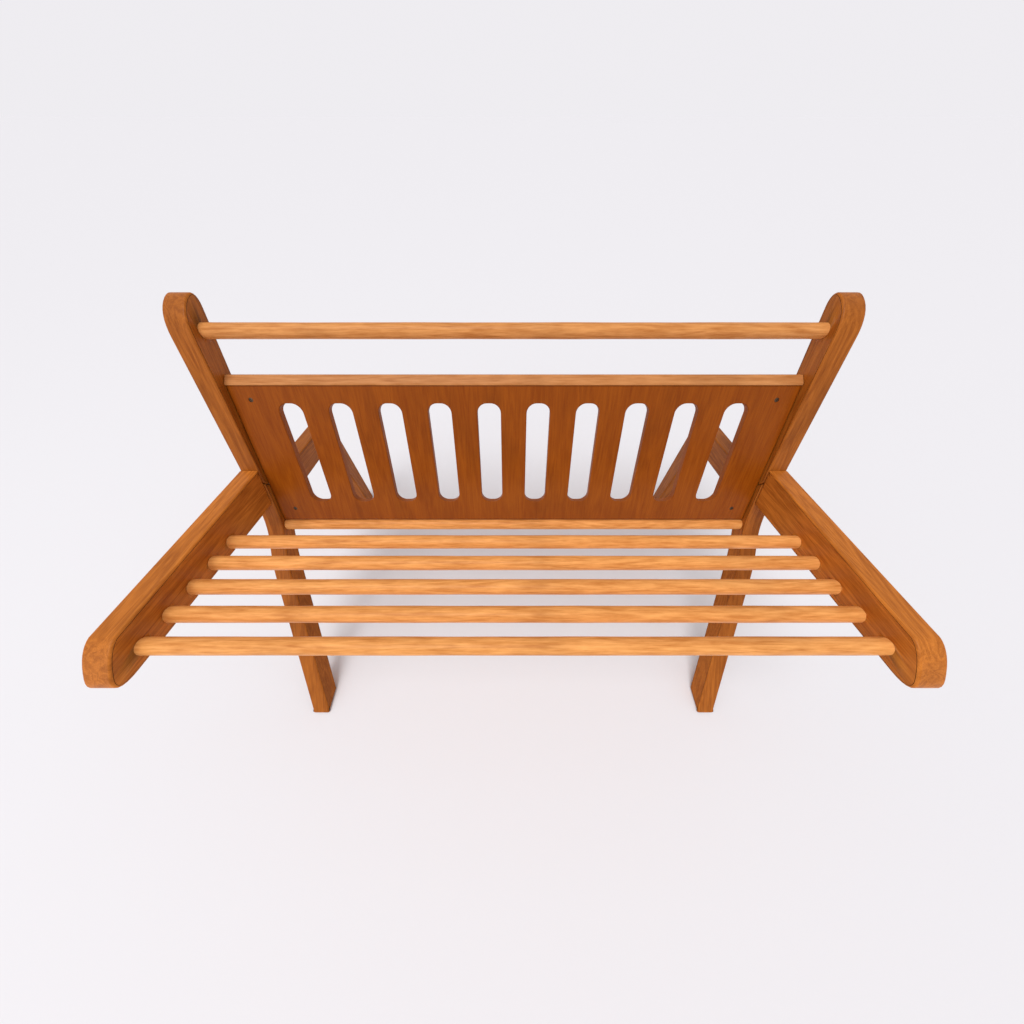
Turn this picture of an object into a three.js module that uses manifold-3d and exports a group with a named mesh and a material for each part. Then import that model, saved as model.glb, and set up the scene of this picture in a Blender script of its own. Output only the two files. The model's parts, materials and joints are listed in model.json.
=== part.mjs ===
// Futon sofa bed frame in oiled hardwood, in millimetres, +Z up, sitting side towards -Y.
// The origin is on the floor, under the middle of the frame.
// Two leg frames carry a fixed seat of five dowels. The slotted back turns on a pair of
// hidden friction hinges, from upright down on to the rear legs, in line with the seat.
import * as THREE from 'three';
import { mergeVertices } from 'three/addons/utils/BufferGeometryUtils.js';
import Module from 'manifold-3d';

const wasm = await Module();
wasm.setup();

// Driving dimensions
const INNER_HALF = 560;          // middle plane to the inner faces of the side timbers
const TIMBER = 40;               // thickness of every side timber
const JOINT_Y = 41.2;             // line where the seat's top meets the back's front
const JOINT_Z = 474;
const BACK_ANGLE = 69.5;         // degrees of the back above the floor
const SEAT_ANGLE = 6.2;          // degrees that the seat rises towards its front
const ROD_RADIUS = 13.5;
const TENON_RADIUS = 11;         // turned-down ends of the rods
const SOCKET_DEPTH = 20;
const FIT_GAP = 0.4;             // between pieces that touch
const SLIDE_GAP = 1.2;           // between pieces that pass each other
const GLIDE_HEIGHT = 3;

// Seat rail and dowels
const RAIL_RISE = 5;             // rail's top above the joint line, at its rear end
const NOSE = {                   // rounded front end, from the joint line
  top: [-364, 39.3], brow: [-384, 37.5], front: [-412.5, 8], tip: [-422.5, -2.3],
  chin: [-419, -10], throat: [-414.5, -18], low: [-394, -21],
};
const RAIL_REAR_DEPTH = 79;      // measured down the leg, where the rail meets it
const DOWEL_COUNT = 5;
const FIRST_DOWEL = [-157.6, -35.5];
const LAST_DOWEL = [-363.9, -3.1];

// Back frame, measured along the posts from the joint line and in from their front face
const POST_DEPTH = 40;
const POST_HEAD = {              // the post widens to a rounded head
  neck: [12, 0], shoulder: [262, -10.5], brow: [300, -12], slope: [322, 13],
  peak: [332, 24.5], top: [328, 32], corner: [323.5, POST_DEPTH], nape: [308, POST_DEPTH],
};
const TOP_ROD = [271, 18];
const PANEL_LOW = -129.5;
const PANEL_HIGH = 179;
const PANEL_FRONT = 11;
const PANEL_THICK = 15;
const SLOT_COUNT = 10;
const SLOT_PITCH = 100;
const SLOT_WIDTH = 47.5;
const SLOT_LOW = -79.5;
const SLOT_HIGH = 145;
const SLOT_CORNER = 20;
const LIPPING_HEIGHT = 18;       // bevelled strip along the panel's top edge
const LIPPING_FRONT = 10;
const LIPPING_REAR = 26;
const LIPPING_CREST = 6;         // flat left on top, behind the bevel
const LIPPING_LIP = 4;           // upright left in front, below the bevel
const BATTEN_WIDTH = 44;
const BATTEN_LOW = -107;
const BATTEN_HIGH = 170;
const PANEL_SCREWS = [-98, 152];
const PANEL_SCREW_X = 521;
const BATTEN_SCREWS = [100, 145];

// Leg frames
const HEAD_LENGTH = 101.7;       // straight head of the front leg, down from the joint line
const FOOT_FORWARD = 402;        // joint line to the front leg's toe
const LEG_DEPTH = 40;
const TOE_IN = 84;               // how far the front feet stand in from the heads
const TOE_IN_START = 165;        // below the joint line
const BOTTOM_ROD = [-146, 16];
const ARM_TOP_DROP = 10;         // rear leg's top below the underside of the lowered back
const ARM_LENGTH = 262;
const REAR_FOOT = 338;
const REAR_FOOT_DEPTH = 42;

// Hinges and bolts
const HINGE_X = 582;             // inner side of the hinge slot in the timber
const PLATE_THICK = 4;
const WASHER_THICK = 1.5;
const PLATE_WIDTH = 24;
const PIN_RADIUS = 5;
const STUD_X = 572;
const STUD_ALONG = -62;
const STUD_RADIUS = 4;
const NUT_RADIUS = 6;
const NUT_REACH = 62;            // barrel nuts, either side of the leg's head

const SIDES = [['left', -1], ['right', 1]];
const radians = (degrees) => degrees * Math.PI / 180;

// Directions in the side view: [y, z]
const UP_BACK = [Math.cos(radians(BACK_ANGLE)), Math.sin(radians(BACK_ANGLE))];
const INTO_BACK = [UP_BACK[1], -UP_BACK[0]];
const SEAT_REAR = [Math.cos(radians(SEAT_ANGLE)), -Math.sin(radians(SEAT_ANGLE))];
const SEAT_UP = [-SEAT_REAR[1], SEAT_REAR[0]];

// A point of the side view from its place relative to the joint line
const fromJoint = ([y, z]) => [JOINT_Y + y, JOINT_Z + z];

// A point of the side view from its place along and in from the back's front face
const onBack = (along, depth) => fromJoint([
  UP_BACK[0] * along + INTO_BACK[0] * depth,
  UP_BACK[1] * along + INTO_BACK[1] * depth,
]);

// The hinge line is half a post's depth from the back's face and from the seat's top,
// so both faces lie in one plane when the back is down.
const HINGE_DEPTH = POST_DEPTH / 2;
const HINGE_ALONG = (() => {
  const slope = SEAT_UP[0] * UP_BACK[0] + SEAT_UP[1] * UP_BACK[1];
  const offset = SEAT_UP[0] * INTO_BACK[0] + SEAT_UP[1] * INTO_BACK[1];
  return (-HINGE_DEPTH - offset * HINGE_DEPTH) / slope;
})();
const HINGE = onBack(HINGE_ALONG, HINGE_DEPTH);

// Materials
const wood = (color, roughness) => new THREE.MeshStandardMaterial({ color, roughness, metalness: 0 });
const MATERIALS = {
  timber: wood('#a85f22', 0.45),
  dowel: wood('#b8732f', 0.42),
  panel: wood('#9a5420', 0.48),
  steel: new THREE.MeshStandardMaterial({ color: '#9a9ca0', roughness: 0.35, metalness: 1 }),
  zinc: new THREE.MeshStandardMaterial({ color: '#b9b29c', roughness: 0.4, metalness: 1 }),
  rubber: wood('#2b2826', 0.8),
  plastic: wood('#2b2826', 0.6),
};

const model = new THREE.Group();

function addMesh(name, geometry, material) {
  const mesh = new THREE.Mesh(geometry, material.clone());
  mesh.name = name;
  model.add(mesh);
}

// Boolean helpers
function toSolid(geometry) {
  const bare = geometry.clone();
  bare.deleteAttribute('normal');
  bare.deleteAttribute('uv');
  const merged = mergeVertices(bare, 1e-4);
  return new wasm.Manifold(new wasm.Mesh({
    numProp: 3,
    vertProperties: new Float32Array(merged.attributes.position.array),
    triVerts: new Uint32Array(merged.index.array),
  }));
}

function toGeometry(solid) {
  const mesh = solid.getMesh();
  const geometry = new THREE.BufferGeometry();
  geometry.setAttribute('position', new THREE.BufferAttribute(mesh.vertProperties, 3));
  geometry.setIndex(new THREE.BufferAttribute(mesh.triVerts, 1));
  geometry.computeVertexNormals();
  return geometry;
}

function cutAway(geometry, cutters) {
  return toGeometry(cutters.reduce((solid, cutter) => solid.subtract(toSolid(cutter)), toSolid(geometry)));
}

// Turns a shape drawn in [y, z] into a solid that stands along X
const SIDE_VIEW = new THREE.Matrix4().makeBasis(
  new THREE.Vector3(0, 1, 0), new THREE.Vector3(0, 0, 1), new THREE.Vector3(1, 0, 0),
);

function sideShape(points) {
  return new THREE.Shape(points.map(([y, z]) => new THREE.Vector2(y, z)));
}

function extrudeAcross(shape, lowX, highX, edge = 0) {
  const geometry = new THREE.ExtrudeGeometry(shape, {
    depth: highX - lowX - 2 * edge,
    bevelEnabled: edge > 0,
    bevelThickness: edge,
    bevelSize: edge,
    bevelOffset: -edge,
    bevelSegments: 1,
  });
  geometry.translate(0, 0, lowX + edge);
  return geometry.applyMatrix4(SIDE_VIEW);
}

// The span in X of a side timber, or of anything given from its inner side
function sideSpan(side, near, far) {
  return side > 0 ? [near, far] : [-far, -near];
}

// A round bar along X
function barAcross([y, z], lowX, highX, radius, sections = 24) {
  const geometry = new THREE.CylinderGeometry(radius, radius, highX - lowX, sections);
  geometry.rotateZ(-Math.PI / 2);
  return geometry.translate((lowX + highX) / 2, y, z);
}

// A round bar at the given X, perpendicular to the back's front face
function barInto(x, along, lowDepth, highDepth, radius, sections = 20) {
  const geometry = new THREE.CylinderGeometry(radius, radius, highDepth - lowDepth, sections);
  const [y, z] = onBack(along, (lowDepth + highDepth) / 2);
  geometry.rotateX(Math.atan2(INTO_BACK[1], INTO_BACK[0]));
  return geometry.translate(x, y, z);
}

// A four-sided block lined up with the back, spanning X from lowX to highX
function backBlock(lowX, highX, lowAlong, highAlong, lowDepth, highDepth, edge = 0) {
  const corners = [
    [lowAlong, lowDepth], [lowAlong, highDepth], [highAlong, highDepth], [highAlong, lowDepth],
  ];
  return extrudeAcross(sideShape(corners.map(([along, depth]) => onBack(along, depth))), lowX, highX, edge);
}

function arc([y, z], radius, fromDegrees, toDegrees, steps) {
  return Array.from({ length: steps + 1 }, (_, step) => {
    const angle = radians(fromDegrees + (toDegrees - fromDegrees) * step / steps);
    return [y + radius * Math.cos(angle), z + radius * Math.sin(angle)];
  });
}

function bend(start, control, end, steps) {
  const curve = new THREE.QuadraticBezierCurve(
    new THREE.Vector2(...start), new THREE.Vector2(...control), new THREE.Vector2(...end),
  );
  return curve.getPoints(steps).map(({ x, y }) => [x, y]);
}

function line(start, end, steps) {
  return Array.from({ length: steps + 1 }, (_, step) => [
    start[0] + (end[0] - start[0]) * step / steps,
    start[1] + (end[1] - start[1]) * step / steps,
  ]);
}

// Where two lines of the side view cross, each given by a point and a direction
function crossing([y1, z1], [dy1, dz1], [y2, z2], [dy2, dz2]) {
  const scale = ((y2 - y1) * dz2 - (z2 - z1) * dy2) / (dy1 * dz2 - dz1 * dy2);
  return [y1 + dy1 * scale, z1 + dz1 * scale];
}

// Seat dowels
const DOWELS = Array.from({ length: DOWEL_COUNT }, (_, index) => {
  const share = index / (DOWEL_COUNT - 1);
  return fromJoint([
    FIRST_DOWEL[0] + (LAST_DOWEL[0] - FIRST_DOWEL[0]) * share,
    FIRST_DOWEL[1] + (LAST_DOWEL[1] - FIRST_DOWEL[1]) * share,
  ]);
});

// Blind socket for a rod's tenon in a side timber
function rodSocket(side, centre) {
  const span = sideSpan(side, INNER_HALF - 1, INNER_HALF + SOCKET_DEPTH);
  return barAcross(centre, ...span, TENON_RADIUS + FIT_GAP);
}

// A rod between the side timbers, with a tenon turned on each end
function addRod(name, [y, z]) {
  const shoulder = INNER_HALF - FIT_GAP;
  const reach = INNER_HALF + SOCKET_DEPTH - 1;
  const outline = [
    [0, -reach], [TENON_RADIUS, -reach], [TENON_RADIUS, -shoulder], [ROD_RADIUS, -shoulder],
    [ROD_RADIUS, shoulder], [TENON_RADIUS, shoulder], [TENON_RADIUS, reach], [0, reach],
  ];
  const rod = new THREE.LatheGeometry(outline.map(([r, x]) => new THREE.Vector2(r, x)), 24);
  rod.rotateZ(-Math.PI / 2);
  addMesh(name, rod.translate(0, y, z), MATERIALS.dowel);
}

// Bored holes for the stud and its two barrel nuts
function studBore() {
  const reach = NUT_REACH + 12;
  return (side) => barInto(
    side * STUD_X, STUD_ALONG, -reach, POST_DEPTH + reach, STUD_RADIUS + FIT_GAP,
  );
}

const boreForStud = studBore();

function nutBore(side, depth) {
  const span = sideSpan(side, STUD_X - 8 - FIT_GAP, INNER_HALF + TIMBER + 1);
  return barAcross(onBack(STUD_ALONG, depth), ...span, NUT_RADIUS + FIT_GAP, 20);
}

// Seat rail: a tapered board with a rounded nose
function seatRailShape() {
  const place = Object.fromEntries(Object.entries(NOSE).map(([key, point]) => [key, fromJoint(point)]));
  const rearTop = onBack(RAIL_RISE / UP_BACK[1], -FIT_GAP);
  const rearLow = onBack(-RAIL_REAR_DEPTH, -FIT_GAP);
  return sideShape([
    rearTop, ...bend(place.top, place.brow, place.front, 5),
    ...bend(place.front, place.tip, place.chin, 3).slice(1),
    ...bend(place.chin, place.throat, place.low, 4).slice(1), rearLow,
  ]);
}

function addSeatRail(name, side) {
  const span = sideSpan(side, INNER_HALF, INNER_HALF + TIMBER);
  const board = extrudeAcross(seatRailShape(), ...span, 3);
  const cutters = DOWELS.map((centre) => rodSocket(side, centre));
  cutters.push(boreForStud(side), nutBore(side, -NUT_REACH));
  addMesh(`${name}_seat_rail`, cutAway(board, cutters), MATERIALS.timber);
}

// Back post: a half-round foot on the hinge line and a rounded head, slotted for the hinge plates
function postShape() {
  const low = arc(HINGE, POST_DEPTH / 2, BACK_ANGLE - 90, BACK_ANGLE - 270, 12);
  const place = Object.fromEntries(Object.entries(POST_HEAD).map(([key, point]) => [key, onBack(...point)]));
  return sideShape([
    ...low, place.neck, ...bend(place.shoulder, place.brow, place.slope, 4),
    ...bend(place.slope, place.peak, place.top, 3).slice(1),
    ...bend(place.top, place.corner, place.nape, 4).slice(1),
  ]);
}

function hingeSlot(side) {
  const width = 2 * PLATE_THICK + WASHER_THICK + 4 * FIT_GAP;
  const span = sideSpan(side, HINGE_X, HINGE_X + width);
  const reach = PLATE_WIDTH / 2 + SLIDE_GAP * 4;
  return backBlock(...span, HINGE_ALONG - 30, HINGE_ALONG + reach, -5, POST_DEPTH + 5);
}

const LEG_PLATE_X = HINGE_X + FIT_GAP;
const WASHER_X = LEG_PLATE_X + PLATE_THICK + FIT_GAP;
const POST_PLATE_X = WASHER_X + WASHER_THICK + FIT_GAP;

// Mortise that takes the straight part of a hinge plate
function plateMortise(side, plateX, lowAlong, highAlong) {
  const span = sideSpan(side, plateX - FIT_GAP, plateX + PLATE_THICK + FIT_GAP);
  const half = PLATE_WIDTH / 2 + FIT_GAP;
  return backBlock(...span, lowAlong, highAlong, HINGE_DEPTH - half, HINGE_DEPTH + half);
}

const POST_PLATE_END = 78;
const LEG_PLATE_END = -102;
const POST_PLATE_SCREWS = [34, 62];
const LEG_PLATE_SCREWS = [-47, -88];

// Countersunk bolt hole from the outer face, through the plate
function boltHole(side, along, radius) {
  const reach = sideSpan(side, INNER_HALF + 10, INNER_HALF + TIMBER + 1);
  return barAcross(onBack(along, HINGE_DEPTH), ...reach, radius, 16);
}

function boltHeadRecess(side, along, radius) {
  const reach = sideSpan(side, INNER_HALF + TIMBER - 4, INNER_HALF + TIMBER + 1);
  return barAcross(onBack(along, HINGE_DEPTH), ...reach, radius, 20);
}

const PLATE_BOLT_RADIUS = 2.5;
const PLATE_BOLT_HEAD = 5;

function plateBoltCutters(side, places) {
  return places.flatMap((along) => [
    boltHole(side, along, PLATE_BOLT_RADIUS + FIT_GAP),
    boltHeadRecess(side, along, PLATE_BOLT_HEAD + FIT_GAP),
  ]);
}

function addBackPost(name, side) {
  const span = sideSpan(side, INNER_HALF, INNER_HALF + TIMBER);
  const board = extrudeAcross(postShape(), ...span, 3);
  const cutters = [
    rodSocket(side, onBack(...TOP_ROD)),
    hingeSlot(side),
    plateMortise(side, POST_PLATE_X, HINGE_ALONG, POST_PLATE_END + SLIDE_GAP),
    boltHole(side, HINGE_ALONG, PIN_RADIUS + FIT_GAP),
    boltHeadRecess(side, HINGE_ALONG, PIN_HEAD_RADIUS + FIT_GAP),
    ...plateBoltCutters(side, POST_PLATE_SCREWS),
    ...BATTEN_SCREWS.map((along) => battenScrewHole(side, along)),
  ];
  addMesh(`${name}_back_post`, cutAway(board, cutters), MATERIALS.timber);
}

// Slotted plywood panel, drawn flat as [x, along] and set between the posts
function panelShape() {
  const half = INNER_HALF - SLIDE_GAP;
  const shape = new THREE.Shape([
    new THREE.Vector2(-half, PANEL_LOW), new THREE.Vector2(half, PANEL_LOW),
    new THREE.Vector2(half, PANEL_HIGH), new THREE.Vector2(-half, PANEL_HIGH),
  ]);
  for (let index = 0; index < SLOT_COUNT; index += 1) {
    shape.holes.push(slotPath((index - (SLOT_COUNT - 1) / 2) * SLOT_PITCH));
  }
  return shape;
}

function slotPath(middle) {
  const half = SLOT_WIDTH / 2 - SLOT_CORNER;
  const low = SLOT_LOW + SLOT_CORNER;
  const high = SLOT_HIGH - SLOT_CORNER;
  const corners = [
    ...arc([middle + half, low], SLOT_CORNER, -90, 0, 4),
    ...arc([middle + half, high], SLOT_CORNER, 0, 90, 4),
    ...arc([middle - half, high], SLOT_CORNER, 90, 180, 4),
    ...arc([middle - half, low], SLOT_CORNER, 180, 270, 4),
  ];
  return new THREE.Path(corners.map(([x, along]) => new THREE.Vector2(x, along)));
}

function addPanel() {
  const geometry = new THREE.ExtrudeGeometry(panelShape(), { depth: PANEL_THICK, bevelEnabled: false });
  const [y, z] = onBack(0, PANEL_FRONT + PANEL_THICK);
  geometry.applyMatrix4(new THREE.Matrix4().makeBasis(
    new THREE.Vector3(1, 0, 0), new THREE.Vector3(0, ...UP_BACK),
    new THREE.Vector3(0, -INTO_BACK[0], -INTO_BACK[1]),
  ).setPosition(0, y, z));
  const cutters = SIDES.flatMap(([, side]) => PANEL_SCREWS.flatMap((along) => [
    barInto(side * PANEL_SCREW_X, along, 0, POST_DEPTH, PANEL_SCREW_RADIUS + FIT_GAP, 12),
    barInto(side * PANEL_SCREW_X, along, 0, PANEL_FRONT + 2, PANEL_SCREW_HEAD + FIT_GAP, 16),
  ]));
  addMesh('slotted_back_panel', cutAway(geometry, cutters), MATERIALS.panel);
}

const PANEL_SCREW_RADIUS = 1.8;
const PANEL_SCREW_HEAD = 4;
const PANEL_SCREW_LENGTH = 24;

// Screw or bolt: a shank and a head in one turned profile, along +Y from the head's face
function turnedBolt(radius, headRadius, headHeight, length, sections = 16) {
  const outline = [
    [0, 0], [headRadius, 0], [headRadius, headHeight], [radius, headHeight], [radius, length], [0, length],
  ];
  return new THREE.LatheGeometry(outline.map(([r, y]) => new THREE.Vector2(r, y)), sections);
}

function addPanelScrew(name, side, along) {
  const screw = turnedBolt(PANEL_SCREW_RADIUS, PANEL_SCREW_HEAD, 1.6, PANEL_SCREW_LENGTH, 14);
  const [y, z] = onBack(along, PANEL_FRONT);
  screw.rotateX(Math.atan2(INTO_BACK[1], INTO_BACK[0]));
  addMesh(name, screw.translate(side * PANEL_SCREW_X, y, z), MATERIALS.zinc);
}

// Strip along the panel's top edge, bevelled towards the front
function addPanelLipping() {
  const low = PANEL_HIGH + FIT_GAP;
  const high = PANEL_HIGH + LIPPING_HEIGHT;
  const outline = [
    [low, LIPPING_FRONT], [low, LIPPING_REAR], [high, LIPPING_REAR],
    [high, LIPPING_REAR - LIPPING_CREST], [PANEL_HIGH + LIPPING_LIP, LIPPING_FRONT],
  ];
  const reach = INNER_HALF - SLIDE_GAP;
  const strip = extrudeAcross(sideShape(outline.map(([along, depth]) => onBack(along, depth))), -reach, reach);
  addMesh('panel_top_lipping', strip, MATERIALS.dowel);
}

// Batten behind each end of the panel, screwed sideways to the post
function battenSpan(side) {
  const near = INNER_HALF - FIT_GAP;
  return sideSpan(side, near - BATTEN_WIDTH, near);
}

function battenScrewHole(side, along) {
  const reach = sideSpan(side, INNER_HALF - 19, INNER_HALF + TIMBER + 1);
  return barAcross(onBack(along, BATTEN_DEPTH), ...reach, BATTEN_SCREW_RADIUS + FIT_GAP, 12);
}

const BATTEN_SCREW_RADIUS = 2.5;
const BATTEN_FRONT = PANEL_FRONT + PANEL_THICK + FIT_GAP;
const BATTEN_DEPTH = (BATTEN_FRONT + POST_DEPTH) / 2;
const BATTEN_SCREW_SPAN = [INNER_HALF - 18, INNER_HALF + TIMBER - 2];

function addBatten(name, side) {
  const [lowX, highX] = battenSpan(side);
  const batten = backBlock(lowX, highX, BATTEN_LOW, BATTEN_HIGH, BATTEN_FRONT, POST_DEPTH, 1.5);
  const cutters = [
    ...PANEL_SCREWS.map((along) => barInto(
      side * PANEL_SCREW_X, along, 0, PANEL_FRONT + PANEL_SCREW_LENGTH + FIT_GAP,
      PANEL_SCREW_RADIUS + FIT_GAP, 12,
    )),
    ...BATTEN_SCREWS.map((along) => battenScrewHole(side, along)),
  ];
  addMesh(`${name}_panel_batten`, cutAway(batten, cutters), MATERIALS.timber);
}

function addBattenScrew(name, side, along) {
  const span = sideSpan(side, ...BATTEN_SCREW_SPAN);
  const screw = barAcross(onBack(along, BATTEN_DEPTH), ...span, BATTEN_SCREW_RADIUS, 12);
  addMesh(name, screw, MATERIALS.zinc);
}

// Front leg: a straight head in line with the back post, then a bend and a raked limb
const KNEE_START = [-HEAD_LENGTH * UP_BACK[0], -HEAD_LENGTH * UP_BACK[1]];
const TOE = [-FOOT_FORWARD, -JOINT_Z + GLIDE_HEIGHT];
const LIMB_SLOPE = 43.3;
const LIMB = [-Math.cos(radians(LIMB_SLOPE)), -Math.sin(radians(LIMB_SLOPE))];
const KNEE = crossing([0, 0], UP_BACK, TOE, LIMB);
const KNEE_REACH = Math.hypot(KNEE[0] - KNEE_START[0], KNEE[1] - KNEE_START[1]);
const KNEE_END = [KNEE[0] + LIMB[0] * KNEE_REACH, KNEE[1] + LIMB[1] * KNEE_REACH];
const LIMB_INTO = [-LIMB[1], LIMB[0]];
const CRADLE_LIP = 42;           // degrees short of the front face, which leaves a flat lip
const HEAD_JOINT_HIGH = [-43, POST_DEPTH];
const HEAD_JOINT_LOW = [-106, POST_DEPTH];

function offset([y, z], [dy, dz], distance) {
  return [y + dy * distance, z + dz * distance];
}

function frontLegShape() {
  const hinge = [HINGE[0] - JOINT_Y, HINGE[1] - JOINT_Z];
  const cradle = arc(hinge, HINGE_DEPTH + SLIDE_GAP, BACK_ANGLE + 90 + CRADLE_LIP, 270 - SEAT_ANGLE, 10);
  const lipAlong = HINGE_ALONG - (HINGE_DEPTH + SLIDE_GAP) * Math.sin(radians(CRADLE_LIP));
  const front = [
    ...bend(KNEE_START, KNEE, KNEE_END, 8),
    ...line(KNEE_END, TOE, 6).slice(1),
  ];
  const heel = [TOE[0] + LEG_DEPTH / Math.sin(radians(LIMB_SLOPE)), TOE[1]];
  const rearKnee = crossing(
    offset([0, 0], INTO_BACK, LEG_DEPTH), UP_BACK, offset(TOE, LIMB_INTO, LEG_DEPTH), LIMB,
  );
  const rearStart = offset(rearKnee, LIMB, 46);
  const rear = [...line(heel, rearStart, 6), ...bend(rearStart, rearKnee, offset(rearKnee, UP_BACK, 34), 8).slice(1)];
  const place = ([along, depth]) => offset(offset([0, 0], UP_BACK, along), INTO_BACK, depth);
  const shoulder = offset(cradle[cradle.length - 1], SEAT_REAR, 8);
  const points = [
    ...cradle.slice().reverse(), place([lipAlong, 0]), ...front, ...rear, place(HEAD_JOINT_HIGH), shoulder,
  ];
  return points.map(fromJoint);
}

// The foot moves in along X, in a straight line after a short ease at the start
function toeIn(geometry, side) {
  const ease = 0.2;
  const fall = JOINT_Z - GLIDE_HEIGHT - TOE_IN_START;
  const place = geometry.attributes.position;
  for (let index = 0; index < place.count; index += 1) {
    const share = Math.max(0, (JOINT_Z - TOE_IN_START - place.getZ(index)) / fall);
    const travel = share < ease ? share * share / (2 * ease) : share - ease / 2;
    place.setX(index, place.getX(index) - side * TOE_IN * travel / (1 - ease / 2));
  }
  return geometry;
}

function addFrontLeg(name, side) {
  const span = sideSpan(side, INNER_HALF, INNER_HALF + TIMBER);
  const board = toeIn(extrudeAcross(sideShape(frontLegShape()), ...span, 3), side);
  const cutters = [
    rodSocket(side, onBack(...BOTTOM_ROD)),
    boreForStud(side),
    plateMortise(side, LEG_PLATE_X, LEG_PLATE_END - SLIDE_GAP, HINGE_ALONG),
    ...plateBoltCutters(side, LEG_PLATE_SCREWS),
  ];
  addMesh(`${name}_front_leg`, cutAway(board, cutters), MATERIALS.timber);
}

// Rear leg: an arm parallel to the seat, which the lowered back lies on, and a standing limb
function rearLegShape() {
  const place = ([along, depth]) => offset(offset([0, 0], UP_BACK, along), INTO_BACK, depth + FIT_GAP);
  const drop = HINGE_DEPTH + ARM_TOP_DROP;
  const hinge = [HINGE[0] - JOINT_Y, HINGE[1] - JOINT_Z];
  const armTop = offset(hinge, SEAT_UP, -drop);
  const start = crossing(armTop, SEAT_REAR, place(HEAD_JOINT_HIGH), UP_BACK);
  const armEnd = [ARM_LENGTH, crossing(armTop, SEAT_REAR, [ARM_LENGTH, 0], [0, 1])[1]];
  const floor = -JOINT_Z + GLIDE_HEIGHT;
  const corner = [ARM_LENGTH + 50, armEnd[1] - 6];
  const outer = [ARM_LENGTH + 60, armEnd[1] - 66];
  const innerHigh = [ARM_LENGTH + 6, -200];
  const innerCorner = [ARM_LENGTH + 1, -147];
  const innerArm = [ARM_LENGTH - 50, -139];
  return [
    start, armEnd,
    ...bend(armEnd, corner, outer, 8).slice(1),
    [REAR_FOOT, floor], [REAR_FOOT - REAR_FOOT_DEPTH, floor],
    ...bend(innerHigh, innerCorner, innerArm, 8),
    place(HEAD_JOINT_LOW),
  ].map(fromJoint);
}

function addRearLeg(name, side) {
  const span = sideSpan(side, INNER_HALF, INNER_HALF + TIMBER);
  const board = extrudeAcross(sideShape(rearLegShape()), ...span, 3);
  const cutters = [boreForStud(side), nutBore(side, POST_DEPTH + NUT_REACH)];
  addMesh(`${name}_rear_leg`, cutAway(board, cutters), MATERIALS.timber);
}

// Felt-faced rubber pad on the arm, under the lowered back
function addRestPad(name, side) {
  const length = 60;
  const near = 62;
  const gap = FIT_GAP;
  const top = offset(HINGE, SEAT_UP, -(HINGE_DEPTH + 0.6));
  const low = offset(HINGE, SEAT_UP, -(HINGE_DEPTH + ARM_TOP_DROP - gap));
  const points = [
    offset(low, SEAT_REAR, near), offset(low, SEAT_REAR, near + length),
    offset(top, SEAT_REAR, near + length), offset(top, SEAT_REAR, near),
  ];
  const span = sideSpan(side, INNER_HALF + 5, INNER_HALF + TIMBER - 5);
  addMesh(`${name}_rest_pad`, extrudeAcross(sideShape(points), ...span, 1.5), MATERIALS.rubber);
}

// Hinge hardware
const PIN_HEAD_RADIUS = 9;
const PIN_HEAD_HEIGHT = 3;

function hingePlate(side, plateX, endAlong, boltPlaces) {
  const half = PLATE_WIDTH / 2;
  const up = endAlong > HINGE_ALONG;
  const start = up ? BACK_ANGLE - 90 : BACK_ANGLE + 90;
  const eye = arc(HINGE, half, start, start - 180, 10);
  const ends = up
    ? [onBack(endAlong, HINGE_DEPTH - half), onBack(endAlong, HINGE_DEPTH + half)]
    : [onBack(endAlong, HINGE_DEPTH + half), onBack(endAlong, HINGE_DEPTH - half)];
  const span = sideSpan(side, plateX, plateX + PLATE_THICK);
  const plate = extrudeAcross(sideShape([...eye, ...ends]), ...span);
  return cutAway(plate, [
    boltHole(side, HINGE_ALONG, PIN_RADIUS + FIT_GAP),
    ...boltPlaces.map((along) => boltHole(side, along, PLATE_BOLT_RADIUS + FIT_GAP)),
  ]);
}

function addHinge(name, side) {
  const legPlate = hingePlate(side, LEG_PLATE_X, LEG_PLATE_END, LEG_PLATE_SCREWS);
  const postPlate = hingePlate(side, POST_PLATE_X, POST_PLATE_END, POST_PLATE_SCREWS);
  addMesh(`${name}_hinge_leg_plate`, legPlate, MATERIALS.steel);
  addMesh(`${name}_hinge_post_plate`, postPlate, MATERIALS.steel);
  const washerSpan = sideSpan(side, WASHER_X, WASHER_X + WASHER_THICK);
  const washer = cutAway(
    barAcross(HINGE, ...washerSpan, PLATE_WIDTH / 2, 24),
    [boltHole(side, HINGE_ALONG, PIN_RADIUS + FIT_GAP)],
  );
  addMesh(`${name}_hinge_friction_washer`, washer, MATERIALS.zinc);
  addSideBolt(`${name}_hinge_pin`, side, HINGE_ALONG, PIN_RADIUS, PIN_HEAD_RADIUS, PIN_HEAD_HEIGHT);
  POST_PLATE_SCREWS.forEach((along, index) => {
    addSideBolt(`${name}_post_plate_bolt_${index + 1}`, side, along, PLATE_BOLT_RADIUS, PLATE_BOLT_HEAD, 2.5);
  });
  LEG_PLATE_SCREWS.forEach((along, index) => {
    addSideBolt(`${name}_leg_plate_bolt_${index + 1}`, side, along, PLATE_BOLT_RADIUS, PLATE_BOLT_HEAD, 2.5);
  });
}

// A bolt along X, its head sunk just below the timber's outer face
function addSideBolt(name, side, along, radius, headRadius, headHeight) {
  const bolt = turnedBolt(radius, headRadius, headHeight, TIMBER - 12, 20);
  bolt.rotateZ(side * Math.PI / 2);
  const [y, z] = onBack(along, HINGE_DEPTH);
  addMesh(name, bolt.translate(side * (INNER_HALF + TIMBER - 0.5), y, z), MATERIALS.steel);
}

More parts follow.
